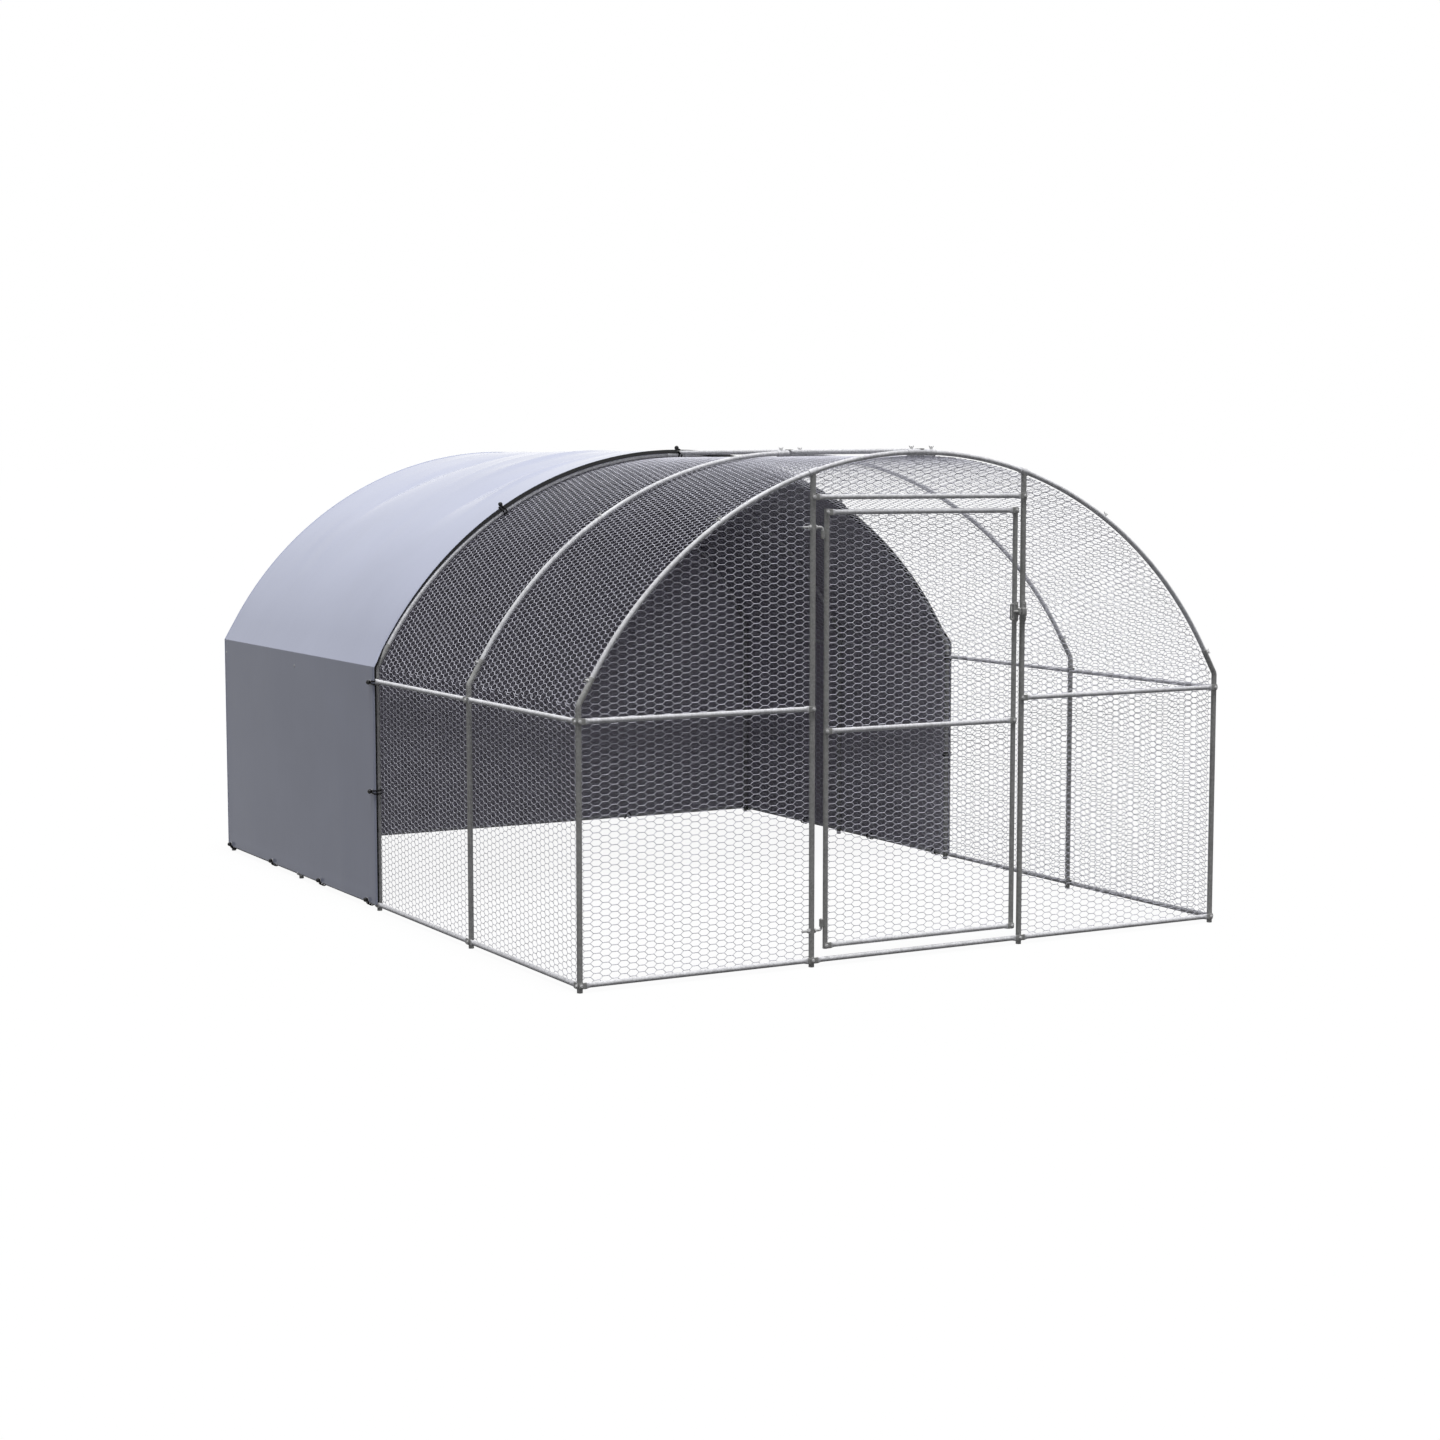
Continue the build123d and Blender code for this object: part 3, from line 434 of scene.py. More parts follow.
class FinishColours(bpy.types.PropertyGroup):
    # Pale, nearly matte zinc: its paleness is partly painted reflection of the light above, which shiny zinc
    # shows
    tube: colour_field("Tube", "Galvanised arches, sleeves and rails", (0.84, 0.84, 0.865))
    # Darker copy of the tube's zinc: the darkness is painted shade, as upright tubes show under light from
    # above
    post: colour_field("Post", "Darker posts, stiles, latch and pressed ends, in painted shade", (0.46, 0.46, 0.45))
    fitting: colour_field("Fittings", "Zinc-plated bolts, nuts and eyelets", (0.72, 0.72, 0.72))
    wire: colour_field("Wire", "Galvanised netting", (0.73, 0.73, 0.81))
    # Blue-grey: the blue is partly real and partly painted light, the bluish tint that light gives the roof
    cover: colour_field("Cover", "Outside of the cover, and its welt", (0.54, 0.57, 0.71))
    # Paler and more purple than the outside of the same tarpaulin: painted light in the shaded inside of the
    # cover
    lining: colour_field("Lining", "Inside of the cover", (0.68, 0.65, 0.73))
    # The black strip on the hem, in this colour, is painted shade
    plastic: colour_field("Plastic", "Balls, elastic and the black strip of painted shade on the hem", (0.012, 0.012, 0.013))
    floor: colour_field("Floor", "Studio floor in the light", (0.045, 0.045, 0.045))


class StageSizes(bpy.types.PropertyGroup):
    place: FloatVectorProperty(
        name="Camera place",
        description="Where the camera stands",
        subtype="TRANSLATION",
        unit="LENGTH",
        default=(-5.49622, -10.22452, 1.92991),
    )
    yaw: angle_field("Camera yaw", "Turn from straight back to the right", 0.50965)
    pitch: angle_field("Camera pitch", "Tilt below the horizon", 0.1002)
    lens: FloatProperty(name="Lens", description="Focal length on a 36 mm sensor", default=62.99, min=1.0)
    key: strength_field("Key light", "Strength of the soft light from above", 2.8)
    key_width: angle_field("Key width", "Angle that the soft light fills in the sky", math.radians(20))
    key_front: angle_field("Key from the front", "Lean of the soft light to the front", 0.13)
    key_left: angle_field("Key from the left", "Lean of the soft light to the left", 0.03)
    fill: strength_field("Fill", "Strength of the light from all sides", 0.28)
    glow: strength_field("Floor glow", "White that the floor shows besides the light on it", 0.95)


# Points and faces of a piece while it is made


def circle(radius, sides):
    """Points of a round section, as pairs of across and up."""
    turn = np.arange(sides) * 2 * math.pi / sides
    return radius * np.stack([np.cos(turn), np.sin(turn)], axis=1)


def rounded_box(width, height, squareness, sides):
    """Points of a section between an ellipse (squareness 2) and a rectangle (large)."""
    shape = circle(1.0, sides)
    return np.sign(shape) * np.abs(shape) ** (2 / squareness) * np.array((width / 2, height / 2))


def placed(section, middle, across, up):
    """A flat section as points in space."""
    return middle + section[:, :1] * across + section[:, 1:] * up


def unit(vectors):
    """The same directions, each of length 1."""
    return vectors / np.linalg.norm(vectors, axis=-1, keepdims=True)


def square_to(axis):
    """Two directions square to an axis and to each other."""
    helper = UP if abs(axis[2]) < NEARLY_UPRIGHT else RIGHT
    across = unit(np.cross(helper, axis))
    return across, np.cross(axis, across)


def eased(share):
    """A smooth step from 0 to 1."""
    share = np.clip(share, 0, 1)
    return share * share * (3 - 2 * share)


class Form:
    """Points and faces of one piece."""

    def __init__(self):
        self.points = []
        self.faces = []

    def loft(self, rings, closed=False):
        """Joins rings of equally many points in order, and closes the ends or joins them to each other."""
        first = sum(len(points) for points in self.points)
        sides = len(rings[0])
        self.points.extend(rings)
        corners = first + np.arange(len(rings) * sides).reshape(len(rings), sides)
        after = np.roll(corners, -1, axis=1)
        count = len(rings) if closed else len(rings) - 1
        for number in range(count):
            onward = (number + 1) % len(rings)
            quads = np.stack([corners[number], after[number], after[onward], corners[onward]], axis=1)
            self.faces.extend(quads.tolist())
        if not closed:
            self.faces.append(corners[0][::-1].tolist())
            self.faces.append(corners[-1].tolist())

    def lathe(self, profile, base, axis, sides, closed=False):
        """Turns a profile of pairs of radius and height around an axis from base."""
        across, up = square_to(axis)
        rings = []
        for radius, height in profile:
            rings.append(placed(circle(radius, sides), base + axis * height, across, up))
        self.loft(rings, closed)

    def plate(self, outline, base, across, up, depth, bevel):
        """Raises a plate from an outline of pairs of across and up, with bevelled edges."""
        outline = np.asarray(outline, float)
        middle = outline.mean(axis=0)
        size = np.linalg.norm(outline - middle, axis=1, keepdims=True)
        drawn_in = middle + (outline - middle) * (1 - bevel / size)
        out = np.cross(across, up)
        steps = ((drawn_in, 0), (outline, bevel), (outline, depth - bevel), (drawn_in, depth))
        self.loft([placed(section, base + out * height, across, up) for section, height in steps])


def tube_rings(path, radius, normal, sides=TUBE_SIDES):
    """Round rings along a path that bends in the plane square to normal."""
    path = np.asarray(path, float)
    ways = unit(np.diff(path, axis=0))
    tangents = unit(np.concatenate([ways[:1], ways[:-1] + ways[1:], ways[-1:]]))
    section = circle(radius, sides)
    ups = np.cross(tangents, normal)
    return [placed(section, point, normal, up) for point, up in zip(path, ups)]


def end_ring(point, way, radius, sides=TUBE_SIDES):
    """One ring square to a way in the plane of an arch or a door."""
    return tube_rings([point, point + way], radius, BACK, sides)[0]


def make_piece(name, form, material, body, nodes=(), slot=None, sharp=TUBE_SHARP):
    """Makes an object of a form, with soft shading, and lets it ride on its body in place of its nodes."""
    mesh = bpy.data.meshes.new(name)
    mesh.from_pydata(np.concatenate(form.points), [], form.faces)
    return finish_piece(name, mesh, (material,), body, nodes, slot, sharp)


def finish_piece(name, mesh, materials, body, nodes, slot, sharp):
    """Makes an object of a mesh; sharp is the angle in degrees from which an edge shows."""
    mesh.polygons.foreach_set("use_smooth", np.ones(len(mesh.polygons), bool))
    mesh.set_sharp_from_angle(angle=math.radians(sharp))
    for material in materials:
        mesh.materials.append(material)
    piece = bpy.data.objects.new(name, mesh)
    bpy.context.collection.objects.link(piece)
    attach(piece, body)
    if nodes:
        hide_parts(*nodes)
    return piece


def loft_piece(name, rings, *settings):
    """Makes an object of one loft; settings are those of make_piece."""
    form = Form()
    form.loft(rings)
    return make_piece(name, form, *settings)


def tube_piece(name, path, radius, wall, finish, body, node):
    """Tube with open ends: its wall turns in at both ends and the bore is closed out of sight."""
    path = np.asarray(path, float)
    starts = unit(path[1] - path[0])
    ends = unit(path[-2] - path[-1])
    lip = LIP_DEPTH * wall
    bore = radius - wall
    steps = ((BORE_DEPTH * radius, bore), (lip, bore), (0.0, radius - LIP_HEIGHT * wall))
    outside = path.copy()
    outside[0] += starts * lip
    outside[-1] += ends * lip
    rings = [end_ring(path[0] + starts * place, starts, inner) for place, inner in steps]
    rings += tube_rings(outside, radius, BACK)
    rings += [end_ring(path[-1] + ends * place, -ends, inner) for place, inner in reversed(steps)]
    loft_piece(name, rings, finish, body, [node])


# The line of the run


def run_line(along, offset):
    """Points (x, z) and outward normals on the arch line, moved out by offset; along starts at the top."""
    along = np.asarray(along, float)
    side = np.where(along < 0, -1.0, 1.0)
    reach = np.abs(along)
    radius = ARCH_RADIUS + offset
    arc = radius * ARC_ANGLE
    elbow = ELBOW_LENGTH + offset * math.tan(TILT / 2)
    turn = np.minimum(reach, arc) / radius
    on_elbow = np.clip(reach - arc, 0, elbow)
    upright = np.maximum(reach - arc - elbow, 0)
    x = radius * np.sin(turn) + on_elbow * math.cos(ARC_ANGLE)
    z = CENTRE_Z + radius * np.cos(turn) - on_elbow * math.sin(ARC_ANGLE) - upright
    out_x = np.where(upright > 0, 1.0, np.sin(turn))
    out_z = np.where(upright > 0, 0.0, np.cos(turn))
    return np.stack([side * x, z], axis=-1), np.stack([side * out_x, out_z], axis=-1)


def kink_reach(offset):
    """Length along the line from the top to the kink."""
    return (ARCH_RADIUS + offset) * ARC_ANGLE + ELBOW_LENGTH + offset * math.tan(TILT / 2)


def foot_reach(offset, low):
    """Length along the line from the top to a height low on the upright side."""
    return kink_reach(offset) + KINK_Z + offset * math.tan(TILT / 2) - low


def facing(along, offset):
    """The length along the line at an offset that faces a length along the axis, between the same ends."""
    kink = kink_reach(0.0)
    longer = 1 + offset * math.tan(TILT / 2) / (KINK_Z - COVER_LOW_Z)
    reach = np.minimum(np.abs(along), kink) * kink_reach(offset) / kink
    return np.sign(along) * (reach + np.maximum(np.abs(along) - kink, 0) * longer)


def line_places(reach, kink, count):
    """Places along the line, with some close to the kinks, where it turns sharply."""
    near = [side * (kink + step) for side in (-1, 1) for step in KINK_STEPS]
    return np.union1d(np.linspace(-reach, reach, count), near)


def arch_points(start, stop, y):
    """Points on the arch's axis between two lengths along it."""
    count = max(2, math.ceil(abs(stop - start) / ARCH_STEP) + 1)
    line = run_line(np.linspace(start, stop, count), 0.0)[0]
    return np.stack([line[:, 0], np.full(count, y), line[:, 1]], axis=1)


def on_arch(along, y, offset):
    """A point at an offset from the arch's axis, and the outward direction there."""
    line, out = run_line(along, offset)
    return np.array((line[0], y, line[1])), np.array((out[0], 0.0, out[1]))


def inside_run(points, offset):
    """Which points (x, z) lie inside the arch line, moved outwards by offset."""
    x, z = np.abs(points[:, 0]), points[:, 1]
    radius = ARCH_RADIUS + offset
    lean = (x - radius * math.sin(ARC_ANGLE)) * math.sin(ARC_ANGLE)
    lean = lean + (z - CENTRE_Z - radius * math.cos(ARC_ANGLE)) * math.cos(ARC_ANGLE)
    below_arc = np.hypot(x, z - CENTRE_Z) <= radius
    beside_arc = np.arctan2(x, z - CENTRE_Z) > ARC_ANGLE
    return (x <= HALF_SPAN + offset) & (lean <= 0) & (below_arc | beside_arc)


def run_height(x, offset):
    """Height of the arch line, moved outwards by offset, above places x."""
    x = np.abs(np.asarray(x, float))
    radius = ARCH_RADIUS + offset
    end_x, end_z = radius * math.sin(ARC_ANGLE), CENTRE_Z + radius * math.cos(ARC_ANGLE)
    on_arc = CENTRE_Z + np.sqrt(np.maximum(radius**2 - x**2, 0))
    return np.where(x <= end_x, on_arc, end_z - (x - end_x) * math.tan(ARC_ANGLE))


# Materials


class Nodes:
    """Adds nodes to one tree and joins them."""

    def __init__(self, tree):
        self.tree = tree

    def add(self, kind, inputs=None, **settings):
        """Adds a node; inputs map a socket's name or number to a value or to another node's output."""
        made = self.tree.nodes.new(kind)
        for name, value in settings.items():
            setattr(made, name, value)
        for name, value in (inputs or {}).items():
            if isinstance(value, bpy.types.NodeSocket):
                self.tree.links.new(value, made.inputs[name])
            else:
                made.inputs[name].default_value = value
        return made

    def calc(self, operation, first, second=0.0):
        """One step of arithmetic."""
        return self.add("ShaderNodeMath", {0: first, 1: second}, operation=operation).outputs[0]

    def span(self, value, old, new=WHOLE):
        """A value spread from an old range to a new one."""
        inputs = {0: value, 1: old[0], 2: old[1], 3: new[0], 4: new[1]}
        return self.add("ShaderNodeMapRange", inputs).outputs[0]

    def noise(self, place, scale, detail, roughness=0.5):
        """Cloudy noise at a place."""
        inputs = {"Vector": place, "Scale": scale, "Detail": detail, "Roughness": roughness}
        return self.add("ShaderNodeTexNoise", inputs).outputs[0]

    def toned(self, colour, tone, strength=1.0):
        """A colour made lighter or darker by a tone."""
        grey = self.add("ShaderNodeCombineColor", {0: tone, 1: tone, 2: tone}).outputs[0]
        inputs = {0: strength, 6: colour, 7: grey}
        return self.add("ShaderNodeMix", inputs, data_type="RGBA", blend_type="MULTIPLY").outputs[2]


def spangle(nodes, given):
    """Crystals, dull patches and fine grain of hot-dip zinc."""
    place = nodes.add("ShaderNodeTexCoord").outputs["Object"]
    crystals = nodes.add("ShaderNodeTexVoronoi", {"Vector": place, "Scale": given["Crystals per metre"]})
    crystal = nodes.add("ShaderNodeSeparateColor", {0: crystals.outputs["Color"]}).outputs[0]
    patch = nodes.span(nodes.noise(place, PATCHES, detail=4.0, roughness=0.6), PATCH_RANGE)
    fine = nodes.noise(place, ZINC_GRAINS, detail=2.0)
    crystal_tone = nodes.span(crystal, WHOLE, CRYSTAL_TONE)
    tone = nodes.calc("ADD", crystal_tone, nodes.span(patch, WHOLE, PATCH_TONE))
    crystal_rough = nodes.span(crystal, WHOLE, CRYSTAL_ROUGHNESS)
    rough = nodes.calc("ADD", crystal_rough, nodes.span(patch, WHOLE, PATCH_ROUGHNESS))
    grains = nodes.calc("MULTIPLY", fine, ZINC_GRAIN_HEIGHT)
    return {
        "Colour": nodes.toned(given["Colour"], tone, given["Strength"]),
        "Roughness": nodes.calc("ADD", rough, given["Roughness"]),
        "Height": nodes.calc("ADD", grains, nodes.calc("MULTIPLY", crystal, CRYSTAL_HEIGHT)),
    }


def weave(nodes, given):
    """Flat plastic tapes woven under and over each other, from the sheet's own measure in metres."""
    place = nodes.add("ShaderNodeUVMap", uv_map="Sheet").outputs[0]
    measure = nodes.add("ShaderNodeSeparateXYZ", {0: place}).outputs
    turns = [nodes.calc("DIVIDE", measure[number], given["Tape width"]) for number in (0, 1)]
    waves = [nodes.calc("SINE", nodes.calc("MULTIPLY", turn, math.pi)) for turn in turns]
    woven = nodes.calc("MULTIPLY", waves[0], waves[1])
    cloud = nodes.noise(place, CLOUDS, detail=3.0, roughness=0.55)
    streak_place = nodes.add("ShaderNodeMapping", {"Vector": place, "Scale": STREAKS}).outputs[0]
    streak = nodes.noise(streak_place, 1.0, detail=2.0)
    cloud_tone = nodes.span(cloud, NOISE_RANGE, CLOUD_TONE)
    tone = nodes.calc("ADD", cloud_tone, nodes.span(streak, WHOLE, STREAK_TONE))
    tone = nodes.calc("ADD", tone, nodes.span(woven, WEAVE_RANGE, WEAVE_TONE))
    cloud_rough = nodes.span(cloud, NOISE_RANGE, CLOUD_ROUGHNESS)
    return {
        "Colour": nodes.toned(given["Colour"], tone),
        "Roughness": nodes.calc("ADD", given["Roughness"], cloud_rough),
        "Height": woven,
    }


def grain(nodes, given):
    """Fine moulded or braided grain with a slight change of gloss."""
    place = nodes.add("ShaderNodeTexCoord").outputs["Object"]
    fine = nodes.noise(place, given["Grains per metre"], detail=3.0)
    rough = nodes.span(fine, NOISE_RANGE, GRAIN_ROUGHNESS)
    return {
        "Colour": nodes.toned(given["Colour"], nodes.span(fine, NOISE_RANGE, GRAIN_TONE)),
        "Roughness": nodes.calc("ADD", given["Roughness"], rough),
        "Height": fine,
    }


# What builds each pattern, the grey that it starts from, and its values with their defaults
PATTERNS = {
    "Zinc spangle": (spangle, 0.25, {"Crystals per metre": 150.0, "Strength": 1.0, "Roughness": 0.36}),
    "Tape weave": (weave, 0.5, {"Tape width": 0.0025, "Roughness": 0.5}),
    "Fine grain": (grain, 0.02, {"Grains per metre": 600.0, "Roughness": 0.45}),
}

# Values are the pattern's own in their order there, and bump is the depth of its relief
Finish = namedtuple("Finish", "material pattern colour values metallic specular bump coat", defaults=(0.0,))
FINISHES = {
    # The tube finish is the lit copy of the zinc, partly painted reflection
    "tube": Finish("Pale zinc with painted reflection", "Zinc spangle", "tube", (130.0, 1.0, 0.34), 0.02, 0.0, 0.00004),
    # The post finish is the tube finish made darker: painted shade
    "post": Finish("Darker zinc in painted shade", "Zinc spangle", "post", (130.0, 1.0, 0.38), 0.02, 0.05, 0.00004),
    "fitting": Finish(
        "Zinc-plated fitting", "Zinc spangle", "fitting", (700.0, 0.7, 0.3), 0.06, 0.12, 0.00003
    ),
    "wire": Finish("Galvanised wire", "Zinc spangle", "wire", (90.0, 0.8, 0.42), 0.12, 0.08, 0.00002),
    "cover": Finish("Tarpaulin outside", "Tape weave", "cover", (0.0026, 0.42), 0.0, 0.0, 0.00004, 1.0),
    # The inside finish is paler than the outside: painted light
    "lining": Finish("Tarpaulin inside, painted light", "Tape weave", "lining", (0.0026, 0.62), 0.0, 0.1, 0.00012),
    "seam": Finish("Tarpaulin seam", "Fine grain", "cover", (700.0, 0.5), 0.0, 0.1, 0.0001),
    "plastic": Finish("Black plastic", "Fine grain", "plastic", (500.0, 0.36), 0.0, 0.25, 0.00004),
    "elastic": Finish("Black elastic", "Fine grain", "plastic", (1400.0, 0.7), 0.0, 0.1, 0.0003),
}


def pattern_group(name):
    """The shader node group of a pattern, with named sockets, built once."""
    tree = bpy.data.node_groups.get(name)
    if tree:
        return tree
    build, grey, values = PATTERNS[name]
    tree = bpy.data.node_groups.new(name, "ShaderNodeTree")
    sockets = tree.interface
    tint = sockets.new_socket("Colour", in_out="INPUT", socket_type="NodeSocketColor")
    tint.default_value = (grey, grey, grey, 1.0)
    for label, value in values.items():
        number = sockets.new_socket(label, in_out="INPUT", socket_type="NodeSocketFloat")
        number.default_value = value
    for label, kind in (("Colour", "Color"), ("Roughness", "Float"), ("Height", "Float")):
        sockets.new_socket(label, in_out="OUTPUT", socket_type=f"NodeSocket{kind}")
    entry = tree.nodes.new("NodeGroupInput")
    end = tree.nodes.new("NodeGroupOutput")
    for label, result in build(Nodes(tree), entry.outputs).items():
        tree.links.new(result, end.inputs[label])
    return tree


def finish_of(kind, context):
    """The material of a finish, built once: its colour, roughness and height come from its pattern."""
    finish = FINISHES[kind]
    material = bpy.data.materials.get(finish.material)
    if material:
        return material
    material = bpy.data.materials.new(finish.material)
    material.use_nodes = True
    tree = material.node_tree
    nodes = Nodes(tree)
    surface = tree.nodes["Principled BSDF"].inputs
    pattern = nodes.add("ShaderNodeGroup", node_tree=pattern_group(finish.pattern))
    tint = getattr(context.scene.coop_colours, finish.colour)
    for socket, value in zip(pattern.inputs, ((*tint, 1.0), *finish.values)):
        socket.default_value = value
    depth = {"Height": pattern.outputs["Height"], "Strength": 1.0, "Distance": finish.bump}
    relief = nodes.add("ShaderNodeBump", depth)
    tree.links.new(pattern.outputs["Colour"], surface["Base Color"])
    tree.links.new(pattern.outputs["Roughness"], surface["Roughness"])
    tree.links.new(relief.outputs["Normal"], surface["Normal"])
    surface["Metallic"].default_value = finish.metallic
    surface["Specular IOR Level"].default_value = finish.specular
    surface["Coat Weight"].default_value = finish.coat
    surface["Coat Roughness"].default_value = COAT_ROUGHNESS
    surface["Coat IOR"].default_value = COAT_IOR
    return material


# Tubes of the frame


def post_path(side, y, bend_radius):
    """Axis of a side post: up, round its bend, and along its elbow."""
    back_off = bend_radius * math.tan(TILT / 2)
    points = [(side * HALF_SPAN, y, 0.0), (side * HALF_SPAN, y, KINK_Z - back_off)]
    for share in np.linspace(0.0, 1.0, BEND_STEPS)[1:]:
        turn = share * TILT
        x = HALF_SPAN - bend_radius * (1 - math.cos(turn))
        points.append((side * x, y, KINK_Z - back_off + bend_radius * math.sin(turn)))
    end_x = HALF_SPAN - ELBOW_LENGTH * math.sin(TILT)
    points.append((side * end_x, y, KINK_Z + ELBOW_LENGTH * math.cos(TILT)))
    return points


def rail_section(share, diameter):
    """Section of a rail between its flat tab (share 0) and its round tube (1), drawn to its outer face."""
    smooth = eased(share)
    thick = TAB_THICKNESS + (diameter - TAB_THICKNESS) * smooth
    bulge = PRESS_BULGE * math.sin(math.pi * min(1.0, PRESS_STRETCH * share))
    height = TAB_HEIGHT + bulge + (diameter - TAB_HEIGHT) * smooth
    squareness = TAB_SQUARENESS - (TAB_SQUARENESS - ROUND_SQUARENESS) * smooth
    section = rounded_box(thick, height, squareness, TUBE_SIDES)
    section[:, 0] -= thick / 2
    return section


def rail_end(diameter, seat_radius):
    """Places along a rail's end and the sections there, from the tip of its tab to its round tube."""
    stations = []
    for share in TAB_CORNER_SHARES:
        cut = TAB_CORNER * (1 - math.sqrt(1 - (1 - share) ** 2))
        section = rail_section(0.0, diameter)
        section[:, 1] *= 1 - 2 * cut / TAB_HEIGHT
        stations.append((-TAB_REACH + share * TAB_CORNER, section))
    for share in np.linspace(0.0, 1.0, PRESS_STEPS):
        place = seat_radius + PRESS_GAP + share * PRESS_STRETCH * CRIMP_LENGTH
        stations.append((place, rail_section(share, diameter)))
    return stations


def rail_piece(name, node, body, start, along, outward, span, context, seat_radius=POST_RADIUS, layer=0):
    """Tube between two posts; its pressed ends lap on the posts' outer side and take the darker post finish,
    which is painted shade.
    """
    outer = np.array(start, float) + outward * (seat_radius + (layer + 1) * TAB_THICKNESS)
    up = np.cross(along, outward)
    ends = rail_end(context.scene.coop_tubes.rail_diameter, seat_radius)
    stations = ends + [(span - place, section) for place, section in reversed(ends)]
    rings = [placed(section, outer + along * place, outward, up) for place, section in stations]
    piece = loft_piece(name, rings, finish_of("tube", context), body, [node])
    piece.data.materials.append(finish_of("post", context))
    # The pressed ends take the darker post finish: painted shade
    darker = np.zeros(len(piece.data.polygons), np.int32)
    darker[:SHADED_END_LENGTHS * TUBE_SIDES] = 1
    darker[-2 - SHADED_END_LENGTHS * TUBE_SIDES:] = 1
    piece.data.polygons.foreach_set("material_index", darker)


class COOP_OT_posts(bpy.types.Operator):
    """Builds the ten side posts with their bent tops"""

    bl_idname = "coop.posts"
    bl_label = "Side posts"

    def execute(self, context):
        sizes = context.scene.coop_tubes
        finish = finish_of("post", context)
        for number, y in enumerate(ARCH_Y, start=1):
            for side, name in SIDES:
                path = post_path(side, y, sizes.bend_radius)
                node = f"post_{number}_{name}"
                tube_piece(f"side_{node}", path, POST_RADIUS, sizes.wall, finish, "frame", node)
        return {"FINISHED"}


class COOP_OT_arches(bpy.types.Operator):
    """Builds the four curved tubes of each arch"""

    bl_idname = "coop.arches"
    bl_label = "Arches"

    def execute(self, context):
        sizes = context.scene.coop_tubes
        finish = finish_of("tube", context)
        radius = sizes.arch_diameter / 2
        upper = ("upper", JOINT_GAP, ARCH_JOINT - JOINT_GAP)
        lower = ("lower", ARCH_JOINT + JOINT_GAP, ARC_END + SOCKET_DEPTH)
        for number, y in enumerate(ARCH_Y, start=1):
            for side, name in SIDES:
                for part, start, stop in (upper, lower):
                    path = arch_points(side * start, side * stop, y)
                    piece = f"arch_{number}_{part}_{name}"
                    tube_piece(piece, path, radius, sizes.wall, finish, "frame", f"arch_{number}")
        return {"FINISHED"}


class COOP_OT_sleeves(bpy.types.Operator):
    """Builds the sleeves at the tops of the arches and the collars above the door posts"""

    bl_idname = "coop.sleeves"
    bl_label = "Sleeves and collars"

    def execute(self, context):
        sizes = context.scene.coop_tubes
        finish = finish_of("tube", context)
        radius = sizes.sleeve_diameter / 2
        wall = radius - sizes.arch_diameter / 2 - JOINT_GAP
        half = APEX_SLEEVE_LENGTH / 2
        for number, y in enumerate(ARCH_Y, start=1):
            path = arch_points(-half, half, y)
            tube_piece(f"apex_sleeve_{number}", path, radius, wall, finish, "frame", "apex_sleeves")
        half = COLLAR_LENGTH / 2
        for side, name in SIDES:
            middle = side * ARCH_RADIUS * DOOR_POST_TURN
            path = arch_points(middle - half, middle + half, FRONT_Y)
            tube_piece(f"door_post_collar_{name}", path, radius, wall, finish, "frame", "door_post_collars")
        return {"FINISHED"}


class COOP_OT_side_rails(bpy.types.Operator):
    """Builds the middle and bottom rails of both sides, and the tubes along the ridge"""

    bl_idname = "coop.side_rails"
    bl_label = "Side rails and ridge"

    def execute(self, context):
        bays = [(number, y, (number - 1) % 2) for number, y in enumerate(ARCH_Y[:-1], start=1)]
        for side, name in SIDES:
            for level, z in RAIL_LEVELS:
                node = f"{name}_{level}_rails"
                for number, y, layer in bays:
                    piece = f"{name}_{level}_rail_{number}"
                    start = (side * HALF_SPAN, y, z)
                    rail_piece(piece, node, "frame", start, BACK, side * RIGHT, BAY, context, layer=layer)
        seat = context.scene.coop_tubes.sleeve_diameter / 2
        for number, y, layer in bays:
            piece = f"ridge_tube_{number}"
            start = (0.0, y, APEX_Z)
            rail_piece(piece, "ridge_tubes", "frame", start, BACK, UP, BAY, context, seat, layer)
        return {"FINISHED"}


class COOP_OT_end_rails(bpy.types.Operator):
    """Builds the rails of the front and of the rear"""

    bl_idname = "coop.end_rails"
    bl_label = "Front and rear rails"

    def execute(self, context):
        side_bay = HALF_SPAN - DOOR_POST_X
        doorway = 2 * DOOR_POST_X
        rails = [
            ("door_sill_rail", -DOOR_POST_X, FRONT_Y, BOTTOM_RAIL_Z, doorway, 1),
            ("door_header_rail", -DOOR_POST_X, FRONT_Y, HEADER_Z, doorway, 0),
            ("rear_bottom_rail", -HALF_SPAN, REAR_Y, BOTTOM_RAIL_Z, 2 * HALF_SPAN, 0),
        ]
        for level, z in RAIL_LEVELS:
            rails.append((f"front_{level}_rail_left", -HALF_SPAN, FRONT_Y, z, side_bay, 0))
            rails.append((f"front_{level}_rail_right", DOOR_POST_X, FRONT_Y, z, side_bay, 0))
        for node, x, y, z, span, layer in rails:
            outward = BACK if y > 0 else -BACK
            rail_piece(f"{node}_tube", node, "frame", (x, y, z), RIGHT, outward, span, context, layer=layer)
        return {"FINISHED"}


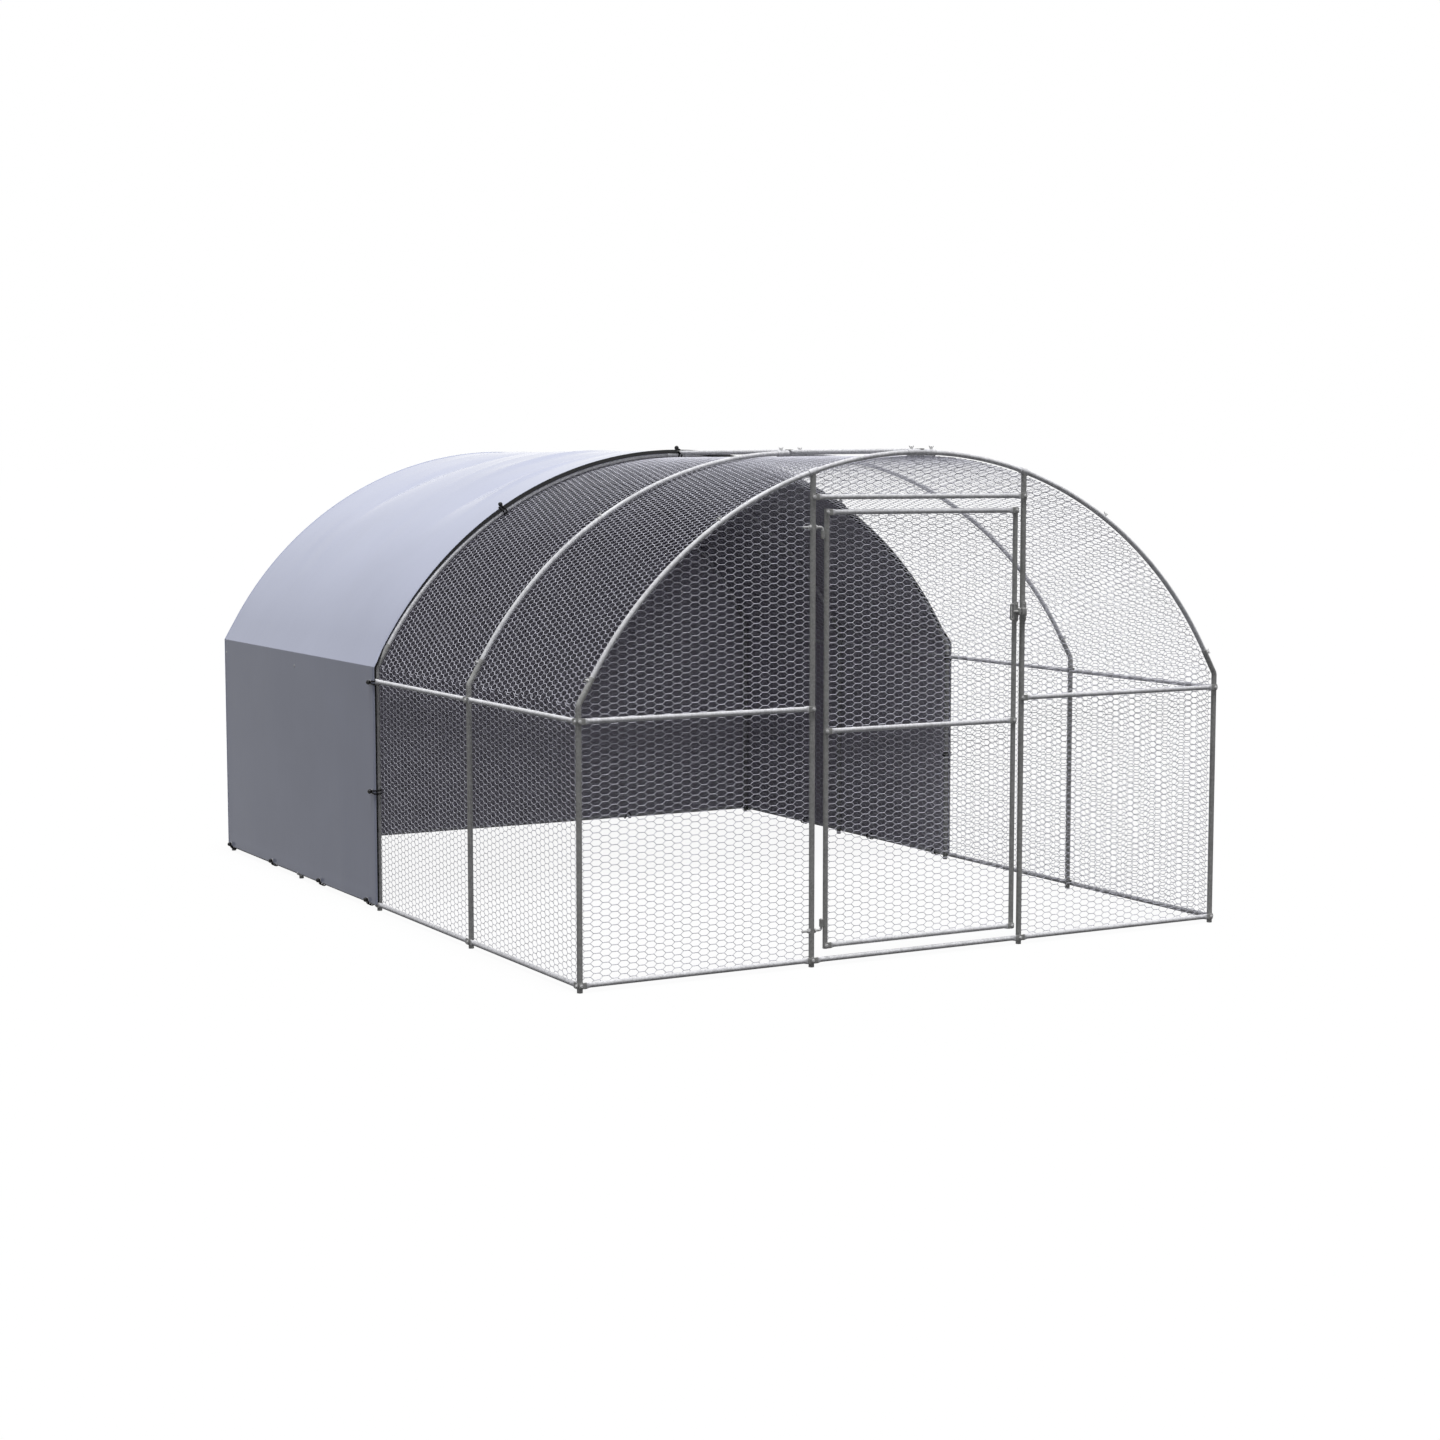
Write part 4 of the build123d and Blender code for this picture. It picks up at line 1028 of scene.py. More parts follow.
class COOP_OT_door_posts(bpy.types.Operator):
    """Builds the two posts beside the door, coped under their collars"""

    bl_idname = "coop.door_posts"
    bl_label = "Door posts"

    def execute(self, context):
        sizes = context.scene.coop_tubes
        finish = finish_of("post", context)
        bore = POST_RADIUS - sizes.wall
        sleeve = sizes.sleeve_diameter / 2
        for side, name in SIDES:
            rings = []
            for radius, z in ((bore, FOOT_BORE), (bore, 0.0), (POST_RADIUS, 0.0), (POST_RADIUS, 0.0)):
                middle = np.array((side * DOOR_POST_X, FRONT_Y, z))
                rings.append(placed(circle(radius, TUBE_SIDES), middle, RIGHT, BACK))
            top = rings[-1]
            depth = top[:, 1] - FRONT_Y
            cope = np.sqrt(sleeve**2 - depth**2) / math.cos(DOOR_POST_TURN)
            top[:, 2] = run_height(top[:, 0], 0.0) - cope
            loft_piece(f"door_post_tube_{name}", rings, finish, "frame", [f"door_post_{name}"])
        return {"FINISHED"}


# Door, hinges and latch


class COOP_OT_door_frame(bpy.types.Operator):
    """Builds the stiles and rails of the door"""

    bl_idname = "coop.door_frame"
    bl_label = "Door frame"

    def execute(self, context):
        sizes = context.scene.coop_tubes
        radius = sizes.rail_diameter / 2
        finish = finish_of("post", context)
        for x, name in ((LEFT_STILE_X, "left"), (RIGHT_STILE_X, "right")):
            path = [(x, FRONT_Y, DOOR_LOW_Z), (x, FRONT_Y, DOOR_HIGH_Z)]
            node = f"door_stile_{name}"
            tube_piece(f"door_stile_tube_{name}", path, radius, sizes.wall, finish, "door", node)
        span = RIGHT_STILE_X - LEFT_STILE_X
        for node in DOOR_RAILS:
            start = (LEFT_STILE_X, FRONT_Y, middle_of(node).z)
            rail_piece(f"{node}_tube", node, "door", start, RIGHT, -BACK, span, context, radius)
        return {"FINISHED"}


def hex_nut(form, base, axis, width, height):
    """Hexagonal nut or bolt head with turned-down corners."""
    corner = width / math.sqrt(3)
    profile = [(radius * corner, rise * height) for radius, rise in NUT_PROFILE]
    form.lathe(profile, base, axis, 6)


def threaded_rod(form, base, axis, radius, length, pitch=THREAD_PITCH):
    """Rod with the ridges of a thread and a chamfered end."""
    profile = []
    turns = int(length / pitch)
    for number in range(turns):
        profile.append((THREAD_ROOT * radius, number * pitch))
        profile.append((radius, (number + 0.5) * pitch))
    profile.append((THREAD_ROOT * radius, turns * pitch))
    profile.append((THREAD_TIP * radius, length))
    form.lathe(profile, base, axis, ROD_SIDES)


class COOP_OT_hinges(bpy.types.Operator):
    """Builds the hooked hinge bolts with their nuts, and the sleeves on the door"""

    bl_idname = "coop.hinges"
    bl_label = "Hinges"

    def execute(self, context):
        radius = context.scene.coop_tubes.rod_diameter / 2
        upper = ("upper", DOOR_HIGH_Z - UPPER_PINTLE_DROP, -1)
        lower = ("lower", DOOR_LOW_Z + LOWER_PINTLE_RISE, 1)
        for name, z, way in (upper, lower):
            self.hinge_bolt(name, z, way, radius, finish_of("fitting", context))
            # The hinge sleeves take the darker post finish: painted shade
            self.hinge_sleeve(name, z, way, radius, finish_of("post", context))
        return {"FINISHED"}

    def hinge_bolt(self, name, z, way, radius, finish):
        """Threaded rod through the post, bent up or down into the hinge's pin, with a nut on each side."""
        post_side = -DOOR_POST_X - POST_RADIUS
        path = [(post_side - HINGE_ROD_LAP, FRONT_Y, z)]
        for share in np.linspace(0.0, 1.0, HINGE_STEPS):
            turn = share * math.pi / 2
            x = HINGE_X - PINTLE_BEND * (1 - math.sin(turn))
            path.append((x, FRONT_Y, z + way * PINTLE_BEND * (1 - math.cos(turn))))
        tip = z + way * (PINTLE_BEND + HINGE_END_PLAY + HINGE_SLEEVE_LENGTH + PIN_PROUD)
        path.append((HINGE_X, FRONT_Y, tip - way * HINGE_TIP_CHAMFER))
        rings = tube_rings(path, radius, BACK, ROD_SIDES)
        point = np.array((HINGE_X, FRONT_Y, tip))
        rings.append(end_ring(point, way * UP, HINGE_TIP_SHARE * radius, ROD_SIDES))
        form = Form()
        form.loft(rings)
        tail = DOOR_POST_X + PINTLE_TAIL + post_side
        threaded_rod(form, np.array((post_side, FRONT_Y, z)), -RIGHT, radius, tail)
        make_piece(f"hinge_bolt_{name}", form, finish, "frame", ["hinge_bolts"])
        form = Form()
        for side in (-1, 1):
            out = side * RIGHT
            seat = np.array((-DOOR_POST_X + side * POST_RADIUS, FRONT_Y, z))
            form.lathe(HINGE_WASHER, seat, out, ROUND_SIDES)
            hex_nut(form, seat + out * HINGE_WASHER[-1][1], out, HINGE_NUT_WIDTH, HINGE_NUT_HEIGHT)
        make_piece(f"hinge_nut_{name}", form, finish, "frame", ["hinge_nuts"], sharp=NUT_SHARP)

    def hinge_sleeve(self, name, z, way, radius, finish):
        """Short tube that turns on the pin, with its two weld beads along the stile."""
        start = z + way * (PINTLE_BEND + HINGE_END_PLAY)
        base = np.array((HINGE_X, FRONT_Y, min(start, start + way * HINGE_SLEEVE_LENGTH)))
        outer = HINGE_SLEEVE_RADIUS
        edge = HINGE_SLEEVE_EDGE
        half = ((radius + HINGE_BORE_PLAY, 0.0), (outer - edge, 0.0), (outer, edge))
        profile = [*half, *((size, HINGE_SLEEVE_LENGTH - height) for size, height in reversed(half))]
        form = Form()
        rings = []
        for size, height in profile:
            rings.append(placed(circle(size, ROUND_SIDES), base + UP * height, RIGHT, BACK))
        form.loft(rings, closed=True)
        length = HINGE_SLEEVE_LENGTH - 2 * WELD_INSET
        for side in (-1, 1):
            bead = []
            for share in np.linspace(0.0, 1.0, WELD_STEPS):
                swell = WELD_RADIUS + WELD_RIPPLE * math.sin(share * WELD_WAVES)
                middle = base + UP * (WELD_INSET + share * length) + RIGHT * WELD_ACROSS
                middle = middle + side * BACK * WELD_BESIDE
                bead.append(placed(circle(swell, CORD_SIDES), middle, RIGHT, BACK))
            form.loft(bead)
        make_piece(f"door_hinge_sleeve_{name}", form, finish, "door", ["door_hinge_sleeves"])


class COOP_OT_latch(bpy.types.Operator):
    """Builds the sliding bolt with its loop, its guide on the door and its keeper on the post"""

    bl_idname = "coop.latch"
    bl_label = "Latch"

    def execute(self, context):
        # The latch takes the darker post finish: painted shade
        finish = finish_of("post", context)
        stile_radius = context.scene.coop_tubes.rail_diameter / 2
        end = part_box("latch_guide")[1].x
        reach = (end - GUIDE_BLOCK_LENGTH, end)
        self.bracket("latch_guide", "door", RIGHT_STILE_X, stile_radius, reach, finish)
        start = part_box("latch_keeper")[0].x
        reach = (start, start + KEEPER_BLOCK_LENGTH)
        self.bracket("latch_keeper", "frame", DOOR_POST_X, POST_RADIUS, reach, finish)
        self.bolt(finish)
        return {"FINISHED"}

    def bracket(self, node, body, tube_x, tube_radius, reach, finish):
        """Plate riveted to a tube, with a bored block in front; reach is the block's left and right end."""
        low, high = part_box(node)
        block_y = low.y + LATCH_BLOCK_DEPTH
        plate_y = FRONT_Y - tube_radius
        form = Form()
        outline = rounded_box(LATCH_PLATE_WIDTH, high.z - low.z, LATCH_SQUARENESS, LATCH_SIDES)
        base = np.array((tube_x, plate_y, LATCH_Z))
        form.plate(outline, base, RIGHT, UP, plate_y - block_y, LATCH_EDGE)
        axis = np.array((0.0, block_y - LATCH_BLOCK_DEPTH / 2, LATCH_Z))
        outer, inner = [
            rounded_box(LATCH_BLOCK_DEPTH - cut, LATCH_BLOCK_HEIGHT - cut, LATCH_SQUARENESS, LATCH_SIDES)
            for cut in (0.0, 2 * LATCH_EDGE)
        ]
        hole = circle(LATCH_BORE, LATCH_SIDES)
        left, right = reach
        steps = ((hole, left), (inner, left), (outer, left + LATCH_EDGE),
                 (outer, right - LATCH_EDGE), (inner, right), (hole, right))
        form.loft([placed(section, axis + RIGHT * x, BACK, UP) for section, x in steps], closed=True)
        for way in (-1, 1):
            seat = np.array((tube_x, block_y, LATCH_Z + way * RIVET_PLACE))
            form.lathe(RIVET_PROFILE, seat, -BACK, ROD_SIDES)
        make_piece(node + "_bracket", form, finish, body, [node], sharp=PLATE_SHARP)

    def bolt(self, finish):
        """Round bar with a closed loop of thinner bar as its handle."""
        low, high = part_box("latch_bolt")
        axis_y = middle_of("latch_bolt").y
        form = Form()
        start = np.array((low.x + LOOP_WIDTH - 2 * LOOP_BAR, axis_y, LATCH_Z))
        reach = high.x - start[0]
        radius = LATCH_BOLT_RADIUS
        profile = (
            (LATCH_TAIL_SHARE * radius, 0.0),
            (radius, LATCH_BOLT_NOSE / 2),
            (radius, reach - LATCH_BOLT_NOSE),
            (LATCH_NOSE_SHARE * radius, reach),
        )
        form.lathe(profile, start, RIGHT, ROUND_SIDES)
        bend = LOOP_CORNER - LOOP_BAR
        middle = np.array((low.x + LOOP_WIDTH / 2, axis_y, LATCH_Z))
        half_width = LOOP_WIDTH / 2 - LOOP_BAR - bend
        half_height = (high.z - low.z) / 2 - LOOP_BAR - bend
        rings = []
        for quarter, (across, rise) in enumerate(((1, 1), (-1, 1), (-1, -1), (1, -1))):
            corner = middle + RIGHT * across * half_width + UP * rise * half_height
            for share in np.linspace(0.0, 1.0, LOOP_STEPS):
                turn = (quarter + share) * math.pi / 2
                way = RIGHT * math.cos(turn) + UP * math.sin(turn)
                rings.append(placed(circle(LOOP_BAR, LOOP_SIDES), corner + way * bend, way, BACK))
        form.loft(rings, closed=True)
        make_piece("latch_bolt_loop", form, finish, "latch_bolt", ["latch_bolt"])


# Wire netting


def net_wires(left, right, low, high, sizes):
    """Ends of the twisted and of the single wires of a hexagonal net that covers a rectangle."""
    point, flat, rise = sizes.point, sizes.flat, sizes.rise
    step = point + flat
    columns = np.arange(math.ceil((right - left) / step) + 2)
    rows = np.arange(math.ceil((high - low) / (2 * rise)) + 2)
    column, row = np.meshgrid(columns, rows, indexing="ij")
    across = left + column * step
    up = low + (2 * row - column % 2) * rise
    middles = np.stack([across, up], axis=-1).reshape(-1, 1, 2)
    twists = middles + np.array(((-flat, rise), (flat, rise)))
    falling = middles + np.array(((flat, rise), (point, 0.0)))
    rising = middles + np.array(((point, 0.0), (flat, -rise)))
    return uneven(twists, sizes.unevenness), uneven(np.concatenate([falling, rising]), sizes.unevenness)


def uneven(ends, depth):
    """Moves each knot a little, by an amount that depends only on where it is."""
    shifts = []
    for waves in (KNOT_WAVES_ALONG, KNOT_WAVES_UP):
        shifts.append(sum(np.sin(ends @ np.array(wave)) for wave in waves))
    return ends + 0.5 * depth * np.stack(shifts, axis=-1)


def within(left, right, low, high, arched=False):
    """A test for pairs inside a rectangle, and also inside the arch's line for a net at an end of the run."""

    def inside(pairs):
        along, up = pairs[:, 0], pairs[:, 1]
        framed = (along >= left) & (along <= right) & (up >= low) & (up <= high)
        return framed & inside_run(pairs, END_NET_OFFSET) if arched else framed

    return inside


def clipped(ends, inside):
    """Keeps the wires inside an outline, shortens those that cross it and drops the shortest."""
    first, last = ends[:, 0].copy(), ends[:, 1].copy()
    starts_in, ends_in = inside(first), inside(last)
    for kept, moved, crossing in ((first, last, starts_in & ~ends_in), (last, first, ends_in & ~starts_in)):
        near, far = kept[crossing], moved[crossing]
        for _ in range(CLIP_STEPS):
            middle = (near + far) / 2
            still_in = inside(middle)[:, None]
            near = np.where(still_in, middle, near)
            far = np.where(still_in, far, middle)
        moved[crossing] = near
    long_enough = np.linalg.norm(last - first, axis=1) > SHORTEST_WIRE
    shown = (starts_in | ends_in) & long_enough
    return np.stack([first[shown], last[shown]], axis=1)


def wire_mesh(name, groups):
    """Mesh of four-sided wires, from groups of their ends in space, their normals and their radius."""
    points, count = [], 0
    for ends, normals, radius in groups:
        ways = unit(ends[:, 1] - ends[:, 0])
        side = unit(np.cross(ways, normals))
        out = np.cross(side, ways)
        ring = np.stack([side, out, -side, -out], axis=1) * radius
        points.append(np.concatenate([ends[:, :1] + ring, ends[:, 1:] + ring], axis=1).reshape(-1, 3))
        count += len(ends)
    # A wire has eight points, a ring of four at each end
    turn = np.array([(0, 1, 5, 4), (1, 2, 6, 5), (2, 3, 7, 6), (3, 0, 4, 7)])
    quads = ((np.arange(count) * 8)[:, None, None] + turn[None]).reshape(-1, 4)
    mesh = bpy.data.meshes.new(name)
    mesh.vertices.add(8 * count)
    mesh.vertices.foreach_set("co", np.concatenate(points).astype(np.float32).ravel())
    mesh.loops.add(quads.size)
    mesh.loops.foreach_set("vertex_index", quads.astype(np.int32).ravel())
    mesh.polygons.add(len(quads))
    mesh.polygons.foreach_set("loop_start", np.arange(0, quads.size, 4, dtype=np.int32))
    mesh.update(calc_edges=True)
    return mesh


def flat_net(axis, place):
    """Puts a net's pairs on a flat square to an axis, 0 for x and 1 for y, at a place along it."""

    def to_space(pairs):
        return np.insert(pairs, axis, place, axis=-1), np.tile((RIGHT, BACK)[axis], (len(pairs), 1))

    return to_space


def net_piece(name, node, body, cells, inside, to_space, context):
    """A net: cells bounds its grid, inside tests what is kept, and to_space gives points and normals."""
    sizes = context.scene.coop_net
    groups = []
    for ends, diameter in zip(net_wires(*cells, sizes), (sizes.twist, sizes.wire)):
        points, normals = to_space(clipped(ends, inside))
        groups.append((points, normals, diameter / 2))
    mesh = wire_mesh(name, groups)
    materials = (finish_of("wire", context),)
    finish_piece(name, mesh, materials, body, [node], "wire_netting", WIRE_SHARP)


class COOP_OT_end_nets(bpy.types.Operator):
    """Builds the nets beside and over the door, of the door and of the rear"""

    bl_idname = "coop.end_nets"
    bl_label = "End and door nets"

    def execute(self, context):
        low, high = BOTTOM_RAIL_Z, APEX_Z
        door_low, door_high = middle_of("door_bottom_rail").z, middle_of("door_top_rail").z
        front_y = middle_of("lintel_net").y
        nets = (
            ("front_net_left", "frame", (-HALF_SPAN, -DOOR_POST_X, low, high), front_y),
            ("front_net_right", "frame", (DOOR_POST_X, HALF_SPAN, low, high), front_y),
            ("lintel_net", "frame", (-DOOR_POST_X, DOOR_POST_X, HEADER_Z, high), front_y),
            ("rear_net", "frame", (-HALF_SPAN, HALF_SPAN, low, high), middle_of("rear_net").y),
            ("door_net", "door", (LEFT_STILE_X, RIGHT_STILE_X, door_low, door_high), middle_of("door_net").y),
        )
        for node, body, cells, y in nets:
            inside = within(*cells, arched=body == "frame")
            net_piece(f"{node}_wires", node, body, cells, inside, flat_net(1, y), context)
        return {"FINISHED"}


class COOP_OT_side_nets(bpy.types.Operator):
    """Builds the nets of both sides, one length of netting from front to rear"""

    bl_idname = "coop.side_nets"
    bl_label = "Side nets"

    def execute(self, context):
        cells = (FRONT_Y, REAR_Y, BOTTOM_RAIL_Z, KINK_Z)
        for node in ("left_net", "right_net"):
            to_space = flat_net(0, middle_of(node).x)
            net_piece(f"{node}_wires", node, "frame", cells, within(*cells), to_space, context)
        return {"FINISHED"}


class COOP_OT_roof_net(bpy.types.Operator):
    """Builds the curved net under the arches, one length for each bay"""

    bl_idname = "coop.roof_net"
    bl_label = "Roof net"

    def execute(self, context):
        reach = kink_reach(ROOF_NET_OFFSET)
        cells = (FRONT_Y, REAR_Y, -reach, reach)

        def to_space(pairs):
            line, out = run_line(pairs[..., 1], ROOF_NET_OFFSET)
            points = np.stack([line[..., 0], pairs[..., 0], line[..., 1]], axis=-1)
            return points, np.stack([out[:, 0, 0], np.zeros(len(out)), out[:, 0, 1]], axis=-1)

        for number, (front, rear) in enumerate(zip(ARCH_Y[:-1], ARCH_Y[1:]), start=1):
            inside = within(front, rear, -reach, reach)
            net_piece(f"roof_net_wires_{number}", "roof_net", "frame", cells, inside, to_space, context)
        return {"FINISHED"}


# Rain cover


def soft_fold(along, across, middle, angle, length, width):
    """A long low fold, 1 high in its middle, that fades out to its ends and sides."""
    lengthwise = (along - middle[0]) * math.cos(angle) + (across - middle[1]) * math.sin(angle)
    sideways = (across - middle[1]) * math.cos(angle) - (along - middle[0]) * math.sin(angle)
    return np.exp(-((lengthwise / length) ** 2) - (sideways / width) ** 2)


def drawn(maker, spans):
    """One number from each span, in order."""
    return [maker.uniform(*span) for span in spans]


def sheet_piece(name, outer, inner, measure, node, context):
    """Closed thin sheet from two equal grids of points, lined, with its own measure in metres as a map."""
    rows, columns = outer.shape[:2]
    mesh = bpy.data.meshes.new(name)
    corner = np.arange(rows * columns).reshape(rows, columns)
    face = np.stack([corner[:-1, :-1], corner[1:, :-1], corner[1:, 1:], corner[:-1, 1:]], axis=-1)
    face = face.reshape(-1, 4)
    back = face[:, ::-1] + rows * columns
    rim = np.concatenate([corner[0, :-1], corner[:-1, -1], corner[-1, :0:-1], corner[:0:-1, 0]])
    after = np.roll(rim, -1)
    edge = np.stack([rim, after, after + rows * columns, rim + rows * columns], axis=-1)
    faces = np.concatenate([face, back, edge])
    mesh.from_pydata(np.concatenate([outer.reshape(-1, 3), inner.reshape(-1, 3)]), [], faces.tolist())
    materials = (finish_of("cover", context), finish_of("lining", context))
    piece = finish_piece(name, mesh, materials, "frame", [node], "tarpaulin", SHEET_SHARP)
    lining = np.zeros(len(faces), np.int32)
    lining[len(face):2 * len(face)] = 1
    mesh.polygons.foreach_set("material_index", lining)
    flat = np.concatenate([measure.reshape(-1, 2), measure.reshape(-1, 2)])
    uv = mesh.uv_layers.new(name="Sheet")
    uv.data.foreach_set("uv", flat[faces.ravel()].astype(np.float32).ravel())
    return piece


class COOP_OT_cover(bpy.types.Operator):
    """Builds the sheet over the roof and sides of the rear bays, its front hem and a black strip of painted
    shade on the hem
    """

    bl_idname = "coop.cover"
    bl_label = "Cover"

    def execute(self, context):
        sizes = context.scene.coop_cover
        reach = foot_reach(COVER_OFFSET, COVER_LOW_Z)
        depth = COVER_REAR_Y - COVER_FRONT_Y
        along = line_places(reach, kink_reach(COVER_OFFSET), math.ceil(2 * reach / sizes.grid) + 1)
        across = np.linspace(COVER_FRONT_Y, COVER_REAR_Y, math.ceil(depth / sizes.grid) + 1)
        line, out = run_line(along, COVER_OFFSET)
        lift = self.lift(along[:, None], across[None, :], sizes)
        ends = np.minimum(across - COVER_FRONT_Y, COVER_REAR_Y - across)[None, :]
        border = np.minimum(ends, (reach - np.abs(along))[:, None])
        outer = self.grid(line, out, across, lift + HEM_STEP * (border < sizes.hem))
        inner = self.grid(line, out, across, lift - sizes.thickness)
        measure = np.stack(np.broadcast_arrays(along[:, None], across[None, :]), axis=-1)
        piece = sheet_piece("rain_cover", outer, inner, measure, "cover", context)
        hem = self.front_hem(context)
        return {"FINISHED"}

    def grid(self, line, out, across, lift):
        """Points of the sheet: the arch line at every place across, lifted along its normals."""
        x = line[:, :1] + out[:, :1] * lift
        z = line[:, 1:] + out[:, 1:] * lift
        y = np.broadcast_to(across[None, :], x.shape)
        return np.stack([x, y, z], axis=-1)

    def lift(self, along, across, sizes):
        """Height of the sheet over its taut line: a sharp fold half way along each bay, and smaller folds."""
        reach = np.abs(along)
        on_roof = eased((reach - FOLD_TOP[0]) / FOLD_TOP[1]) * eased((FOLD_FOOT[0] - reach) / FOLD_FOOT[1])
        lift = np.zeros(np.broadcast_shapes(along.shape, across.shape))
        for front, rear in zip(ARCH_Y[2:-1], ARCH_Y[3:]):
            crease = front + FOLD_PLACE * BAY + FOLD_WANDER * np.sin(FOLD_WAVES * along)
            before = np.exp(-np.maximum(crease - across, 0) / FOLD_BEFORE)
            behind = np.exp(-np.maximum(across - crease, 0) / FOLD_BEHIND)
            within_bay = np.clip(np.sin(math.pi * (across - front) / BAY), 0, 1)
            within_bay = within_bay * (across > front) * (across < rear)
            lift = lift - sizes.sag * on_roof * before * behind * np.sqrt(within_bay)
        for middle, angle, length, width, height in self.folds():
            lift = lift + height * sizes.wrinkle * soft_fold(along, across, middle, angle, length, width)
        taut = eased((across - COVER_FRONT_Y) / TAUT_FRONT) * eased((COVER_REAR_Y - across) / TAUT_REAR)
        return lift * taut

    def folds(self):
        """Middle, direction, length, width and share of the height of each smaller fold."""
        yield from SEEN_FOLDS
        maker = np.random.default_rng(FOLD_SEED)
        for _ in range(ROOF_FOLD_COUNT):
            x, y, angle, length, width, height = drawn(maker, ROOF_FOLD_SPANS)
            yield (x, y), angle, length, width, height
        for _ in range(SIDE_FOLD_COUNT):
            side = maker.choice((-1, 1))
            x, y, angle, length, width, height = drawn(maker, SIDE_FOLD_SPANS)
            yield (side * x, y), angle, length, width, height

    def near_top(self, along):
        """1 at the top of the third arch, and fading out past the reach of the hem's wrap."""
        return math.exp(-((along / WRAP_REACH) ** 4))

    def front_line(self, along):
        """The front hem's line at a place on the third arch, in pairs of back and out from its axis."""
        end = np.array((0.0, HEM_SEAT))
        over = [(1 - share) ** 2 * HEM_START + 2 * share * (1 - share) * HEM_BULGE + share**2 * end
                for share in np.linspace(0, 1, HEM_OVER_STEPS)]
        right = eased((along - WRAP_RIGHT_START) / WRAP_RIGHT_BLEND)
        wrap = math.radians(WRAP_FOOT + WRAP_TOP * self.near_top(along) + WRAP_RIGHT * right)
        under = [(-HEM_SEAT * math.sin(turn), HEM_SEAT * math.cos(turn))
                 for turn in np.linspace(0, wrap, HEM_UNDER_STEPS)[1:]]
        roll = [(ROLL_MIDDLE[0] - ROLL_RADIUS * math.sin(turn), ROLL_MIDDLE[1] + ROLL_RADIUS * math.cos(turn))
                for turn in np.linspace(0, ROLL_TURN, len(over) + len(under))]
        upright = eased((abs(along) - kink_reach(0.0) + ROLL_START) / ROLL_BLEND)
        return np.concatenate([HEM_LAP, (1 - upright) * np.array(over + under) + upright * np.array(roll)])

    def front_hem(self, context):
        """Hem that closes the front edge over the third arch, and a black strip on it, widest at the top:
        painted shade of the gap under the hem's edge.
        """
        half = context.scene.coop_cover.thickness / 2
        outer, inner, measure, rings = [], [], [], []
        for along in line_places(foot_reach(0.0, COVER_LOW_Z), kink_reach(0.0), HEM_PLACES):
            line = self.front_line(along)
            way = np.gradient(line, axis=0)
            side = unit(np.stack([way[:, 1], -way[:, 0]], axis=1))
            length = np.concatenate([[0.0], np.cumsum(np.linalg.norm(np.diff(line, axis=0), axis=1))])
            outer.append(self.at_front(along, line + half * side)[::-1])
            inner.append(self.at_front(along, line - half * side)[::-1])
            measure.append(np.stack([np.full(len(line), along), COVER_FRONT_Y - length], axis=1)[::-1])
            rings.append(self.at_front(along, self.shade_strip_section(along, line, side, length)))
        # Black strip of painted shade, where the gap under the hem's edge is dark
        loft_piece("cover_front_shade_strip", rings, finish_of("elastic", context), "frame", (), "tarpaulin")
        grids = [np.array(grid) for grid in (outer, inner, measure)]
        return sheet_piece("cover_front_hem", *grids, "cover", context)

    def shade_strip_section(self, along, line, side, length):
        """Section of the black strip of painted shade, from the hem's bend to its edge at the top and
        narrower to the left.
        """
        bend, edge = length[len(HEM_LAP)], length[-1]
        bare = SHADE_STRIP_BARE * (1 - self.near_top(along)) * (along < 0)
        kept = np.linspace(bend + bare * (edge - bend), edge, SHADE_STRIP_POINTS)
        middle, away = [
            np.stack([np.interp(kept, length, column) for column in pairs.T], axis=1)
            for pairs in (line, side)
        ]
        low, high = SHADE_STRIP_FACES
        return np.concatenate([middle + high * away, (middle + low * away)[::-1]])

    def at_front(self, along, section):
        """Points in space of pairs of back and out at a place on the third arch."""
        line = np.array([run_line(facing(along, out), out)[0] for out in section[:, 1]])
        return np.stack([line[:, 0], COVER_ARCH_Y + section[:, 0], line[:, 1]], axis=1)


